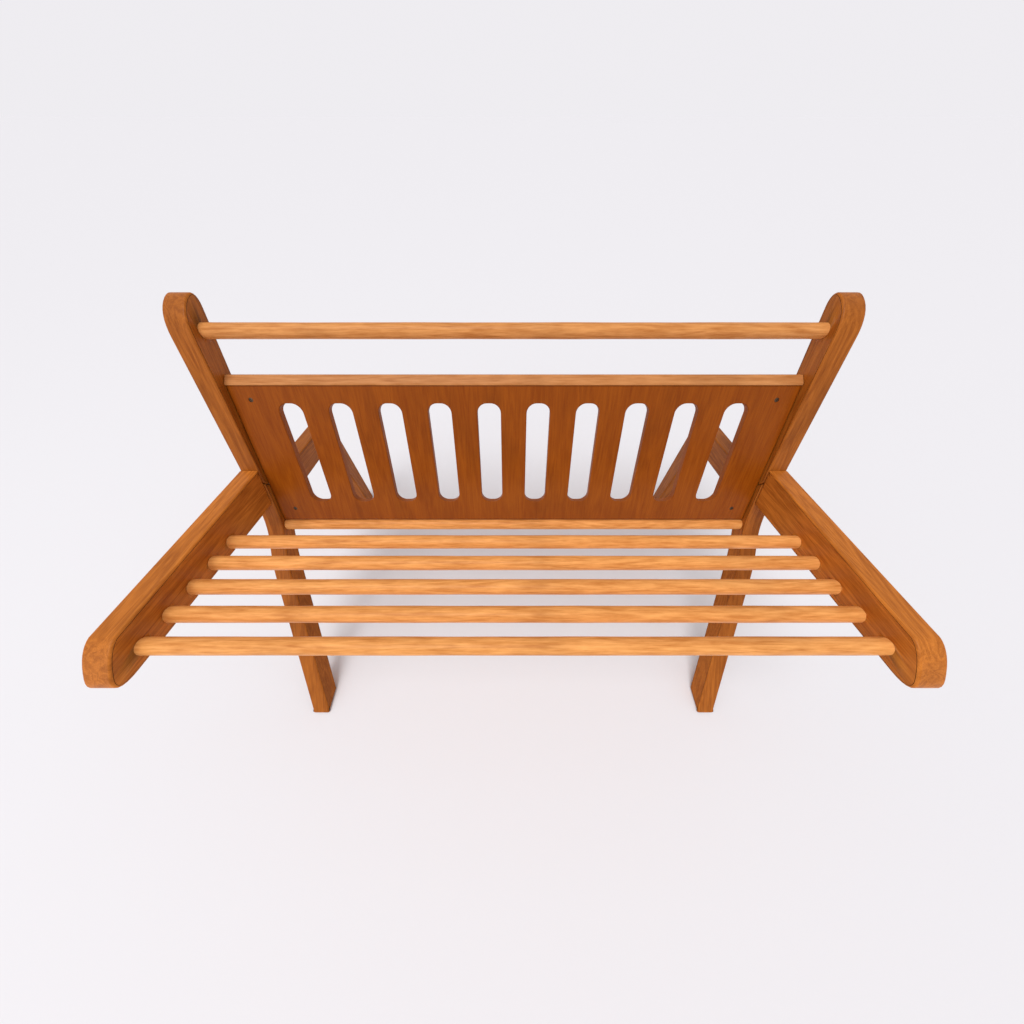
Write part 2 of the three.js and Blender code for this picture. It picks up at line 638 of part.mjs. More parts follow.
// The stud that clamps rail, leg head and rear leg together, with its barrel nuts
function addStud(name, side) {
  const end = NUT_REACH - NUT_RADIUS - FIT_GAP;
  const stud = barInto(side * STUD_X, STUD_ALONG, -end, POST_DEPTH + end, STUD_RADIUS);
  addMesh(`${name}_frame_stud`, stud, MATERIALS.zinc);
  [['rail', -NUT_REACH], ['rear_leg', POST_DEPTH + NUT_REACH]].forEach(([place, depth]) => {
    const span = sideSpan(side, STUD_X - 8, STUD_X + 8);
    const nut = barAcross(onBack(STUD_ALONG, depth), ...span, NUT_RADIUS, 20);
    addMesh(`${name}_${place}_barrel_nut`, nut, MATERIALS.zinc);
  });
}

// Round glides under the feet
function addGlide(name, x, y) {
  const glide = new THREE.CylinderGeometry(15, 16, GLIDE_HEIGHT - FIT_GAP, 24);
  glide.rotateX(Math.PI / 2);
  addMesh(name, glide.translate(x, y, (GLIDE_HEIGHT - FIT_GAP) / 2), MATERIALS.plastic);
}

function addGlides(name, side) {
  const middle = INNER_HALF + TIMBER / 2;
  const heelDepth = LEG_DEPTH / Math.sin(radians(LIMB_SLOPE));
  addGlide(`${name}_front_glide`, side * (middle - TOE_IN), JOINT_Y - FOOT_FORWARD + heelDepth / 2);
  addGlide(`${name}_rear_glide`, side * middle, JOINT_Y + REAR_FOOT - REAR_FOOT_DEPTH / 2);
}

DOWELS.forEach((centre, index) => addRod(`seat_dowel_${index + 1}`, centre));
addRod('back_top_rod', onBack(...TOP_ROD));
addRod('leg_stretcher_rod', onBack(...BOTTOM_ROD));
addPanel();
addPanelLipping();
SIDES.forEach(([name, side]) => {
  addSeatRail(name, side);
  addBackPost(name, side);
  addFrontLeg(name, side);
  addRearLeg(name, side);
  addBatten(name, side);
  addHinge(name, side);
  addStud(name, side);
  addRestPad(name, side);
  addGlides(name, side);
  PANEL_SCREWS.forEach((along, index) => addPanelScrew(`${name}_panel_screw_${index + 1}`, side, along));
  BATTEN_SCREWS.forEach((along, index) => addBattenScrew(`${name}_batten_screw_${index + 1}`, side, along));
});

export default model;
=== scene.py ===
"""Looks of the futon sofa bed frame: oiled timbers, turned rods and a slotted panel back.

Every size is in metres. The side view is described with pairs (y, z). A board is a closed
outline in the side view, carried across its thickness with eased edges.
"""

import json
import math

import bpy
import numpy as np
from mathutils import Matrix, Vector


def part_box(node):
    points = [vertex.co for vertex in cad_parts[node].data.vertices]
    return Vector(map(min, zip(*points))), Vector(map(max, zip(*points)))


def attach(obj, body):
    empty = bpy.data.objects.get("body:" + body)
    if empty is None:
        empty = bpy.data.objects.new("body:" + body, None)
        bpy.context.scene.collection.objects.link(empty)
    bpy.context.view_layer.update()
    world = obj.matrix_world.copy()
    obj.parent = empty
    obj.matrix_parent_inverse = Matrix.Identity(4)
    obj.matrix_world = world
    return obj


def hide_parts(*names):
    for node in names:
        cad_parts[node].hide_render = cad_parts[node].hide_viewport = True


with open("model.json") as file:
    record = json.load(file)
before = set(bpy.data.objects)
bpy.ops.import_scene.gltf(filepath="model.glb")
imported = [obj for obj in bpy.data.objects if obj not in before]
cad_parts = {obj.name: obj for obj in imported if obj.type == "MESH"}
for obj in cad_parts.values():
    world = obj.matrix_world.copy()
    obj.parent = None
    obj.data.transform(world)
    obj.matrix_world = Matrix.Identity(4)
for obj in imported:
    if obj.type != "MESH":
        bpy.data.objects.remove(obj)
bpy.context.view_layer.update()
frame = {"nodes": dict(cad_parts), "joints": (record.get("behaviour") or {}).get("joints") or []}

# Sizes of the frame
INNER_HALF = 0.560
TIMBER = 0.040
OUTER_HALF = INNER_HALF + TIMBER
BACK_ANGLE = math.radians(69.5)
SEAT_ANGLE = math.radians(6.2)
POST_DEPTH = 0.040
HINGE_DEPTH = POST_DEPTH / 2
FIT_GAP = 0.0004
SLIDE_GAP = 0.0012
ROD_RADIUS = 0.0135
TENON_RADIUS = 0.011
SOCKET_DEPTH = 0.019
EDGE = 0.0036
FLOOR_GAP = 0.003

RAIL_RISE = 0.005
RAIL_REAR_DEPTH = 0.079

# The rail's rounded front end, from the joint line
NOSE = [(-0.364, 0.0393), (-0.384, 0.0375), (-0.4125, 0.008), (-0.4225, -0.0023)]
NOSE += [(-0.419, -0.010), (-0.4145, -0.018), (-0.394, -0.021)]

# The post's rounded head, along the back and in from its front
HEAD = [(0.012, 0.0), (0.262, -0.0105), (0.300, -0.012), (0.322, 0.013)]
HEAD += [(0.332, 0.0245), (0.328, 0.032), (0.3235, POST_DEPTH), (0.308, POST_DEPTH)]

PANEL_LOW, PANEL_HIGH = -0.1295, 0.179
PANEL_FRONT, PANEL_THICK = 0.011, 0.015
SLOT_COUNT = 10
SLOT_PITCH = 0.100
SLOT_WIDTH = 0.0475
SLOT_LOW, SLOT_HIGH = -0.0795, 0.145
SLOT_CORNER = 0.020
LIPPING_HEIGHT = 0.018
LIPPING_FRONT, LIPPING_REAR = 0.010, 0.026
LIPPING_CREST, LIPPING_LIP = 0.006, 0.004

HEAD_LENGTH = 0.1017
TOE_FORWARD = 0.402
LIMB_ANGLE = math.radians(43.3)
TOE_IN = 0.084
TOE_IN_START = 0.165
CRADLE_LIP = math.radians(42)
ARM_LENGTH = 0.262
ARM_TOP_DROP = 0.010
REAR_FOOT = 0.338
REAR_FOOT_DEPTH = 0.042

# Places along the back's direction of bolts, screws, battens and the leg heads' rear corners,
# radii of the recesses, and the rest pads' place along the seat's direction
POST_BOLTS, LEG_BOLTS = (0.034, 0.062), (-0.047, -0.088)
PANEL_SCREWS, PANEL_SCREW_X = (-0.098, 0.152), 0.521
BATTEN_LOW, BATTEN_HIGH = -0.107, 0.170
HEAD_REAR, ARM_UNDER = -0.043, -0.106
BOLT_RECESS, PIN_RECESS, RECESS_DEPTH = 0.0054, 0.0094, 0.004
PAD_NEAR, PAD_LENGTH = 0.062, 0.060

# Radii that ease ends, feet and long edges, and a cutter's overshoot
SAWN_EASE, FOOT_EASE, BATTEN_EASE, PANEL_EASE = 0.0022, 0.003, 0.0015, 0.0018
BATTEN_EDGE, PAD_EDGE, LIPPING_EDGE = 0.0018, 0.002, 0.00005
OVERSHOOT = 0.002

END_STEPS = 16
EDGE_STEPS = 5
EDGE_QUARTER = np.linspace(0, math.pi / 2, EDGE_STEPS + 1)

# Directions in the side view
UP = np.array([math.cos(BACK_ANGLE), math.sin(BACK_ANGLE)])
INTO = np.array([UP[1], -UP[0]])
SEAT_REAR = np.array([math.cos(SEAT_ANGLE), -math.sin(SEAT_ANGLE)])
SEAT_UP = np.array([-SEAT_REAR[1], SEAT_REAR[0]])
LIMB = -np.array([math.cos(LIMB_ANGLE), math.sin(LIMB_ANGLE)])
LIMB_INTO = np.array([-LIMB[1], LIMB[0]])

# The joint line, where the seat's top meets the back's front, found from the hinge line
HINGE = np.array(frame["joints"][0]["pos_m"][1:])
HINGE_ALONG = -HINGE_DEPTH * (1 + SEAT_UP @ INTO) / (SEAT_UP @ UP)
JOINT = HINGE - UP * HINGE_ALONG - INTO * HINGE_DEPTH

SIDES = (("left", -1), ("right", 1))


def on_back(along, depth):
    """The joint line plus along times the post's direction plus depth times its inward normal."""
    along, depth = np.broadcast_arrays(along, depth)
    return JOINT + along[..., None] * UP + depth[..., None] * INTO


def line(start, end, steps):
    """Points start + (end - start) * t, with t in equal steps from 0 to 1."""
    share = np.linspace(0, 1, steps + 1)[:, None]
    return np.asarray(start) * (1 - share) + np.asarray(end) * share


def bend(start, control, end, steps):
    """Quadratic curve (1-t)^2 start + 2t(1-t) control + t^2 end."""
    t = np.linspace(0, 1, steps + 1)[:, None]
    start, control, end = map(np.asarray, (start, control, end))
    return (1 - t) ** 2 * start + 2 * t * (1 - t) * control + t**2 * end


def arc(centre, radius, start, stop, steps):
    """Points centre + radius * (cos a, sin a), with a in equal steps from start to stop."""
    angle = np.linspace(start, stop, steps + 1)[:, None]
    return np.asarray(centre) + radius * np.hstack([np.cos(angle), np.sin(angle)])


def crossing(point_1, way_1, point_2, way_2):
    """Where the line through point_1 along way_1 meets the line through point_2 along way_2."""
    steps = np.linalg.solve(np.column_stack([way_1, -np.asarray(way_2)]), np.subtract(point_2, point_1))
    return np.asarray(point_1) + steps[0] * np.asarray(way_1)


def chain(*runs):
    """Runs of points joined end to end, each run starting where the one before it stops."""
    return np.concatenate([runs[0]] + [run[1:] for run in runs[1:]])


def square_end(first, second, radius):
    """A flat end between two edges, with its corners rounded: quarter curve, straight, quarter curve.

    Returns the two edges shortened by the radius, and the end's points from first to second.
    """
    across = second[0] - first[0]
    across = across / np.linalg.norm(across)
    starts = []
    for edge in (first, second):
        way = edge[1] - edge[0]
        starts.append(edge[0] + way / np.linalg.norm(way) * radius)
    quarter = END_STEPS // 4
    end = chain(
        bend(starts[0], first[0], first[0] + across * radius, quarter),
        line(first[0] + across * radius, second[0] - across * radius, END_STEPS - 2 * quarter),
        bend(second[0] - across * radius, second[0], starts[1], quarter),
    )
    return np.vstack([starts[0], first[1:]]), np.vstack([starts[1], second[1:]]), end


def square_far_end(first, second, radius):
    """The same rounded flat end, at the far end of the two edges."""
    near_first, near_second, end = square_end(first[::-1], second[::-1], radius)
    return near_first[::-1], near_second[::-1], end


def square_ends(first, second, near, far):
    """Both ends flat and rounded: the two edges, then the tail's points and the head's."""
    first, second, head = square_end(first, second, near)
    return *square_far_end(first, second, far), head


# Meshes


def in_scene(name, data):
    """A new object that holds the data, linked to the scene."""
    made = bpy.data.objects.new(name, data)
    bpy.context.scene.collection.objects.link(made)
    return made


def read(items, field, kind, width=1):
    """One field of every item, as a flat array."""
    values = np.empty(len(items) * width, kind)
    items.foreach_get(field, values)
    return values


def mesh_piece(name, points, faces):
    """A mesh object from an array of points and lists of faces."""
    mesh = bpy.data.meshes.new(name)
    mesh.from_pydata(points.tolist(), [], faces)
    mesh.validate()
    mesh.update()
    return in_scene(name, mesh)


def point_array(mesh):
    """Every point of a mesh as rows of x, y, z."""
    return read(mesh.vertices, "co", np.float32, 3).reshape(-1, 3).astype(float)


def smooth_with_grain(piece, grain, weighted=True):
    """Soft shading, with level flats if weighted, and each point's grain coordinates in metres."""
    mesh = piece.data
    lengthwise = mesh.attributes.new("grain", "FLOAT_VECTOR", "POINT")
    lengthwise.data.foreach_set("vector", np.ascontiguousarray(grain, np.float32).ravel())
    mesh.polygons.foreach_set("use_smooth", np.ones(len(mesh.polygons), bool))
    if weighted:
        piece.modifiers.new("level_flats", "WEIGHTED_NORMAL").weight = 100


def level_sides(piece):
    """Corner normals: a flat side's own normal at its rim, the area-weighted mean elsewhere.

    A corner keeps its face's normal where that is further than 40 degrees from the mean.
    """
    mesh = piece.data
    corners = read(mesh.loops, "vertex_index", np.int32)
    counts = read(mesh.polygons, "loop_total", np.int32)
    areas = read(mesh.polygons, "area", np.float32)
    ways = read(mesh.polygons, "normal", np.float32, 3)
    own = np.repeat(ways.reshape(-1, 3), counts, axis=0)
    total = np.zeros((len(mesh.vertices), 3))
    np.add.at(total, corners, own * np.repeat(areas, counts)[:, None])
    mean = total[corners] / np.maximum(np.linalg.norm(total[corners], axis=1), 1e-12)[:, None]
    normals = np.where(np.sum(own * mean, 1)[:, None] > math.cos(math.radians(40)), mean, own)
    reach = abs(point_array(mesh)[corners, 0])
    on_flat = np.isclose(reach, INNER_HALF, atol=1e-5) | np.isclose(reach, OUTER_HALF, atol=1e-5)
    on_flat &= abs(own[:, 0]) > 0.5
    normals[on_flat] = np.sign(own[on_flat, :1]) * [1.0, 0.0, 0.0]
    mesh.normals_split_custom_set(normals.tolist())


def grain_along(points, middle):
    """Length along a middle line, distance across it in the side view, and x.

    Each point takes the nearest segment of the middle line, whose ends run on straight.
    """
    place = points[:, 1:]
    start, way = middle[:-1], np.diff(middle, axis=0)
    length = np.linalg.norm(way, axis=1)
    unit = way / length[:, None]
    reach = np.concatenate([[0], np.cumsum(length)])[:-1]
    offset = place[:, None] - start[None]
    along = np.sum(offset * unit, -1)
    low = np.zeros(len(length))
    low[0] = -1.0
    high = length.copy()
    high[-1] += 1.0
    held = np.clip(along, low, high)
    gap = offset - held[..., None] * unit
    nearest = np.argmin(np.linalg.norm(gap, axis=-1), 1)
    rows = np.arange(len(points))
    side = np.column_stack([-unit[nearest, 1], unit[nearest, 0]])
    across = np.sum(offset[rows, nearest] * side, 1)
    return np.column_stack([reach[nearest] + held[rows, nearest], across, points[:, 0]])


def grid_quads(rows, columns, start=0, closed=False):
    """Faces of a grid of points numbered row by row; closed joins its last column to its first."""
    row, column = np.meshgrid(np.arange(rows - 1), np.arange(columns - (not closed)), indexing="ij")
    along = (column + 1) % columns
    corners = [row * columns + column, row * columns + along]
    corners += [(row + 1) * columns + along, (row + 1) * columns + column]
    return np.stack(corners, -1).reshape(-1, 4) + start


def inset(loop, distance):
    """The closed outline moved inwards: each point goes along the sum of its two edges' normals."""
    ahead = np.roll(loop, -1, 0) - loop
    ahead /= np.linalg.norm(ahead, axis=1)[:, None]
    normal = np.column_stack([ahead[:, 1], -ahead[:, 0]])
    behind = np.roll(normal, 1, 0)
    mitre = (normal + behind) / (1 + np.sum(normal * behind, 1))[:, None]
    area = np.sum(loop[:, 0] * np.roll(loop[:, 1], -1) - loop[:, 1] * np.roll(loop[:, 0], -1))
    return loop - mitre * distance * np.sign(area)


def edge_profile(low_x, high_x, edge):
    """Two quarter rounds: inset edge * (1 - sin a) at x = low + edge * (1 - cos a), then mirrored."""
    insets = edge * (1 - np.sin(EDGE_QUARTER))
    places = edge * (1 - np.cos(EDGE_QUARTER))
    across = np.concatenate([low_x + places, (high_x - places)[::-1]])
    return np.concatenate([insets, insets[::-1]]), across


def board(side, first, second, head, tail, edge=EDGE):
    """A board: outline of two matching edges and two end curves, eased over and closed by side faces.

    Ring j is the outline inset by the edge profile, at that profile's x. A side face is a grid
    whose rungs run straight from first edge to second, and its first and last rungs are the ends.
    Returns its points, its faces and its middle line.
    """
    rungs = len(first)
    loop = np.concatenate([first, tail[1:-1], second[::-1], head[1:-1][::-1]])
    insets, places = edge_profile(INNER_HALF, OUTER_HALF, edge)
    rings = np.stack([inset(loop, distance) for distance in insets])
    count = len(loop)
    shell = np.empty((len(insets), count, 3))
    shell[..., 0] = places[:, None]
    shell[..., 1:] = rings
    points = [shell.reshape(-1, 3)]
    quads = [grid_quads(len(insets), count, closed=True)]

    numbers = np.arange(count)
    first_ids = numbers[:rungs]
    tail_ids = numbers[rungs:rungs + END_STEPS - 1]
    second_ids = numbers[rungs + END_STEPS - 1:2 * rungs + END_STEPS - 1][::-1]
    head_ids = numbers[2 * rungs + END_STEPS - 1:][::-1]
    start = len(insets) * count
    for ring, flip in ((0, False), (len(insets) - 1, True)):
        flat = rings[ring]
        share = np.linspace(0, 1, END_STEPS + 1)[1:-1]
        near, far = flat[first_ids][1:-1, None], flat[second_ids][1:-1, None]
        inner = near * (1 - share)[:, None] + far * share[:, None]
        block = np.empty((*inner.shape[:2], 3))
        block[..., 0] = places[ring]
        block[..., 1:] = inner
        ids = np.empty((rungs, END_STEPS + 1), int)
        ids[:, 0] = first_ids + ring * count
        ids[:, -1] = second_ids + ring * count
        ids[0, 1:-1] = head_ids + ring * count
        ids[-1, 1:-1] = tail_ids + ring * count
        ids[1:-1, 1:-1] = start + np.arange((rungs - 2) * (END_STEPS - 1)).reshape(rungs - 2, -1)
        start += (rungs - 2) * (END_STEPS - 1)
        points.append(block.reshape(-1, 3))
        faces = np.stack([ids[:-1, :-1], ids[1:, :-1], ids[1:, 1:], ids[:-1, 1:]], -1).reshape(-1, 4)
        quads.append(faces[:, ::-1] if flip else faces)

    points, quads = np.concatenate(points) * [side, 1, 1], np.concatenate(quads)
    return points, outward(points, quads), (first + second) / 2


def outward(points, quads):
    """Faces turned round where the closed surface's signed volume is negative."""
    a, b, c, d = (points[quads[:, corner]] - points.mean(0) for corner in range(4))
    volume = np.sum(a * np.cross(b, c)) + np.sum(a * np.cross(c, d))
    return quads[:, ::-1] if volume < 0 else quads


def cut(piece, cutters):
    """The piece's mesh with the cutters' solids taken away."""
    for cutter in cutters:
        taken = piece.modifiers.new("bore", "BOOLEAN")
        taken.operation = "DIFFERENCE"
        taken.solver = "EXACT"
        taken.object = cutter
    bpy.context.view_layer.update()
    shaped = piece.evaluated_get(bpy.context.evaluated_depsgraph_get())
    mesh = bpy.data.meshes.new_from_object(shaped)
    piece.modifiers.clear()
    whole, piece.data = piece.data, mesh
    mesh.name = whole.name
    bpy.data.meshes.remove(whole)
    for cutter in cutters:
        bpy.data.objects.remove(cutter)


def turning_frame(start, end):
    """The way from start to end, and two directions square to it and to each other."""
    way = (end - start) / np.linalg.norm(end - start)
    side = np.cross(way, [0, 0, 1]) if abs(way[2]) < 0.9 else np.cross(way, [0, 1, 0])
    side /= np.linalg.norm(side)
    return way, side, np.cross(side, way)


def ringed_mesh(name, rings, first, last, flip=False):
    """A closed mesh of rings of points, the first ring drawn to one point and the last to another."""
    rows, around = rings.shape[:2]
    points = np.concatenate([rings.reshape(-1, 3), [first], [last]])
    here = np.arange(around)
    ahead = (here + 1) % around
    count, far_ring = rows * around, (rows - 1) * around
    near = np.stack([np.full(around, count), ahead, here], -1)
    far = np.stack([np.full(around, count + 1), here + far_ring, ahead + far_ring], -1)
    faces = [grid_quads(rows, around, closed=True), near, far]
    return mesh_piece(name, points, sum(((f[:, ::-1] if flip else f).tolist() for f in faces), []))


def round_bar(name, start, end, outline, around=64):
    """A turned bar: radius outline[i][1] at distance outline[i][0] along the way from start to end.

    Point (i, k) is start + way * distance_i + radius_i * (cos a_k * side + sin a_k * up), and the
    outline starts and stops at radius zero, where the ring of points is drawn together.
    """
    start, end = np.asarray(start, float), np.asarray(end, float)
    way, side, up = turning_frame(start, end)
    distance, radius = np.asarray(outline, float).T
    angle = np.arange(around) * 2 * math.pi / around
    ring = np.cos(angle)[:, None] * side + np.sin(angle)[:, None] * up
    body = start + distance[1:-1, None, None] * way + radius[1:-1, None, None] * ring
    flip = np.sum(np.cross(ring[0], ring[1]) * way) < 0
    return ringed_mesh(name, body, start + way * distance[0], start + way * distance[-1], flip)


def bore(centre, low_x, high_x, radius):
    """A round cutter along x."""
    length = high_x - low_x
    outline = [(0, 0), (0, radius), (length, radius), (length, 0)]
    return round_bar("cutter", (low_x, *centre), (high_x, *centre), outline, around=40)


# Materials


def node_group(name, inputs, outputs):
    """An empty shader group with named inputs (kind, name, value) and outputs (kind, name)."""
    group = bpy.data.node_groups.new(name, "ShaderNodeTree")
    for kind, socket, value in inputs:
        made = group.interface.new_socket(socket, in_out="INPUT", socket_type=kind)
        if value is not None:
            made.default_value = value
    for kind, socket in outputs:
        group.interface.new_socket(socket, in_out="OUTPUT", socket_type=kind)
    return group


class Tree:
    """Short ways to add nodes to a tree and join them."""

    def __init__(self, tree):
        self.nodes, self.links = tree.nodes, tree.links

    def add(self, kind, settings=None, **sockets):
        node = self.nodes.new(kind)
        for setting, value in (settings or {}).items():
            setattr(node, setting, value)
        for socket, value in sockets.items():
            self.feed(node.inputs[socket.replace("_", " ")], value)
        return node

    def feed(self, socket, value):
        if isinstance(value, bpy.types.NodeSocket):
            self.links.new(value, socket)
        else:
            socket.default_value = value

    def math(self, operation, *values):
        node = self.nodes.new("ShaderNodeMath")
        node.operation = operation
        for socket, value in zip(node.inputs, values):
            self.feed(socket, value)
        return node.outputs[0]

    def spread(self, value, gain):
        """How far the value is from a half, times the gain."""
        return self.math("MULTIPLY", self.math("SUBTRACT", value, 0.5), gain)

    def remap(self, value, low, high, new_low=0.0, new_high=1.0):
        node = self.nodes.new("ShaderNodeMapRange")
        for socket, given in zip(node.inputs, (value, low, high, new_low, new_high)):
            self.feed(socket, given)
        return node.outputs[0]

    def mix(self, share, first, second, blend="MIX"):
        node = self.nodes.new("ShaderNodeMix")
        node.data_type = "RGBA"
        node.blend_type = blend
        self.feed(node.inputs[0], share)
        self.feed(node.inputs[6], first)
        self.feed(node.inputs[7], second)
        return node.outputs[2]

    def noise(self, vector, scale, detail=4.0, roughness=0.55, distortion=0.0):
        return self.add(
            "ShaderNodeTexNoise", Vector=vector, Scale=scale, Detail=detail,
            Roughness=roughness, Distortion=distortion,
        ).outputs[0]

    def drawn(self, vector, scale, detail, roughness=0.55, distortion=0.0, offset=(0, 0, 0)):
        """Noise of coordinates stretched by a scale for each direction."""
        node = self.nodes.new("ShaderNodeMapping")
        self.feed(node.inputs["Vector"], vector)
        node.inputs["Scale"].default_value = scale
        node.inputs["Location"].default_value = offset
        return self.noise(node.outputs[0], 1.0, detail, roughness, distortion)

    def end(self, **values):
        """The group's outputs, each joined to the value of its name."""
        out = self.nodes.new("NodeGroupOutput")
        for socket, value in values.items():
            self.links.new(value, out.inputs[socket])


def build_wood_grain():
    """Grain of a sawn board, from coordinates in metres whose first runs along the board.

    Growth bands: noise drawn out 30 times along the board, turned into bands by a sine of
    noise. Fibres: fine noise drawn out 60 times. Pores: the darkest crests of a finer noise.
    Figure: broad soft clouds. Colour goes from dark through middle to light by their sum.
    """
    group = node_group("wood_grain", [
        ("NodeSocketVector", "Vector", None), ("NodeSocketFloat", "Seed", 0.0),
        ("NodeSocketColor", "Light", (0.5, 0.2, 0.05, 1)),
        ("NodeSocketColor", "Dark", (0.2, 0.06, 0.01, 1)),
        ("NodeSocketFloat", "Bands", 0.5), ("NodeSocketFloat", "Mottle", 0.3),
    ], [("NodeSocketColor", "Color"), ("NodeSocketFloat", "Height"), ("NodeSocketFloat", "Pores")])
    tree = Tree(group)
    given = tree.add("NodeGroupInput").outputs
    steps = {axis: tree.math("MULTIPLY", given["Seed"], step)
             for axis, step in (("X", 3.17), ("Y", 0.731), ("Z", 0.417))}
    shift = tree.add("ShaderNodeCombineXYZ", **steps)
    moved = tree.add("ShaderNodeVectorMath", {"operation": "ADD"})
    tree.feed(moved.inputs[0], given["Vector"])
    tree.feed(moved.inputs[1], shift.outputs[0])
    place = moved.outputs[0]

    wander = tree.drawn(place, (2.2, 9.0, 9.0), 2.0)
    slow = tree.drawn(place, (2.5, 42.0, 42.0), 3.0, 0.5, 0.6)
    rings = tree.math("SINE", tree.math("MULTIPLY", tree.math("ADD", slow, wander), 42.0))
    rings = tree.remap(rings, -1.0, 1.0)
    fibres = tree.drawn(place, (26.0, 900.0, 900.0), 5.0, 0.62)
    fine = tree.drawn(place, (70.0, 2600.0, 2600.0), 3.0, 0.6)
    clouds = tree.drawn(place, (7.0, 30.0, 30.0), 3.0, 0.5, 0.4)
    mottle = tree.drawn(place, (26.0, 190.0, 190.0), 4.0, 0.62)
    pores = tree.remap(fine, 0.60, 0.76)

    bands, figure = tree.spread(rings, given["Bands"]), tree.spread(clouds, 0.6)
    speck = tree.spread(mottle, tree.math("MULTIPLY", given["Mottle"], 2.2))
    fibre = tree.spread(fibres, 1.2)
    total = tree.math("ADD", tree.math("ADD", bands, figure), tree.math("ADD", speck, fibre))
    tone = tree.math("ADD", total, 0.55)
    tone = tree.remap(tone, 0.0, 1.0)
    colour = tree.mix(tone, given["Dark"], given["Light"])
    pored = tree.mix(tree.math("MULTIPLY", pores, 0.42), colour, given["Dark"])
    height = tree.math("SUBTRACT", tree.math("MULTIPLY", fibres, 0.6), tree.math("MULTIPLY", pores, 0.5))
    tree.end(Color=pored, Height=height, Pores=pores)
    return group


def build_wear_and_highlight():
    """Handling marks and painted highlight: the edge share is the pointed edges' share, partly real
    rubbing and partly a painted highlight, and grime is broken-up cloud noise in the open grain.
    """
    group = node_group("handling_wear_and_edge_highlight", [
        ("NodeSocketVector", "Vector", None), ("NodeSocketFloat", "Seed", 0.0),
    ], [("NodeSocketFloat", "Grime"), ("NodeSocketFloat", "Worn"), ("NodeSocketFloat", "Smudge")])
    tree = Tree(group)
    given = tree.add("NodeGroupInput").outputs
    pointed = tree.add("ShaderNodeNewGeometry").outputs["Pointiness"]
    broken = tree.drawn(given["Vector"], (45.0, 90.0, 90.0), 4.0, 0.6)
    # Pointed edges broken by noise: partly rubbed by use, partly a painted highlight on the eased edges.
    edge_wear_and_highlight = tree.math("MULTIPLY", tree.remap(pointed, 0.505, 0.56), tree.remap(broken, 0.35, 0.7))
    patches = tree.drawn(given["Vector"], (6.0, 14.0, 14.0), 3.0, 0.5, offset=(4.0, 1.0, 2.0))
    grime = tree.remap(patches, 0.52, 0.78)
    smudge = tree.drawn(given["Vector"], (18.0, 25.0, 25.0), 4.0, 0.6)
    tree.end(Grime=grime, Worn=edge_wear_and_highlight, Smudge=smudge)
    return group


WOOD_GRAIN = build_wood_grain()
WEAR_AND_HIGHLIGHT = build_wear_and_highlight()


def group_node(tree, group, **sockets):
    node = tree.nodes.new("ShaderNodeGroup")
    node.node_tree = group
    for socket, value in sockets.items():
        tree.feed(node.inputs[socket], value)
    return node.outputs


def new_material(name):
    material = bpy.data.materials.new(name)
    material.use_nodes = True
    material.node_tree.nodes.clear()
    tree = Tree(material.node_tree)
    shader = tree.add("ShaderNodeBsdfPrincipled")
    output = tree.add("ShaderNodeOutputMaterial")
    tree.links.new(shader.outputs[0], output.inputs[0])
    return material, tree, shader


def cover(tree, shader, colour, rough, height, strength, distance):
    """The shader's colour and roughness, and its normal from a height."""
    tree.feed(shader.inputs["Base Color"], colour)
    tree.feed(shader.inputs["Roughness"], rough)
    bump = tree.add("ShaderNodeBump", Height=height, Strength=strength, Distance=distance)
    tree.feed(shader.inputs["Normal"], bump.outputs[0])


def wood_material(name, seed, tones, bands, mottle, gloss=0.40):
    """Oiled wood: grain colour darkened in its grime and lightened at pointed edges, for rubbing and as
    a painted highlight, with a satin coat.
    """
    light, dark = tones
    material, tree, shader = new_material(name)
    place = tree.add("ShaderNodeAttribute", {"attribute_name": "grain"}).outputs["Vector"]
    grain = group_node(tree, WOOD_GRAIN, Vector=place, Seed=seed, Light=(*light, 1), Dark=(*dark, 1),
                       Bands=bands, Mottle=mottle)
    wear_and_highlight = group_node(tree, WEAR_AND_HIGHLIGHT, Vector=place, Seed=seed)
    deep = tuple(channel * 0.45 for channel in dark)
    # A paler tone on pointed edges, painted highlight as well as rubbing.
    pale = tuple(min(1.0, channel * 1.35) for channel in light)
    colour = tree.mix(tree.math("MULTIPLY", wear_and_highlight["Grime"], 0.30), grain["Color"], (*deep, 1))
    colour = tree.mix(tree.math("MULTIPLY", wear_and_highlight["Worn"], 0.55), colour, (*pale, 1))
    rough = tree.math("ADD", tree.remap(wear_and_highlight["Smudge"], 0.3, 0.7, gloss - 0.05, gloss + 0.07),
                      tree.math("MULTIPLY", grain["Pores"], 0.18))
    cover(tree, shader, colour, rough, grain["Height"], 0.22, 0.0004)
    shader.inputs["Specular IOR Level"].default_value = 0.12
    shader.inputs["Coat Weight"].default_value = 0.03
    shader.inputs["Coat Roughness"].default_value = 0.26
    return material


def metal_material(name, colour, rough, brushed):
    """Plated steel: noise drawn out one way for the brushing, over a cloudy roughness."""
    material, tree, shader = new_material(name)
    place = tree.add("ShaderNodeTexCoord").outputs["Object"]
    lines = tree.drawn(place, brushed, 3.0)
    clouds = tree.noise(place, 140.0, 3.0)
    dull = tuple(channel * 0.72 for channel in colour)
    plated = tree.mix(clouds, (*dull, 1), (*colour, 1))
    roughness = tree.remap(lines, 0.3, 0.7, rough - 0.08, rough + 0.1)
    cover(tree, shader, plated, roughness, lines, 0.12, 0.0001)
    shader.inputs["Metallic"].default_value = 1.0
    return material


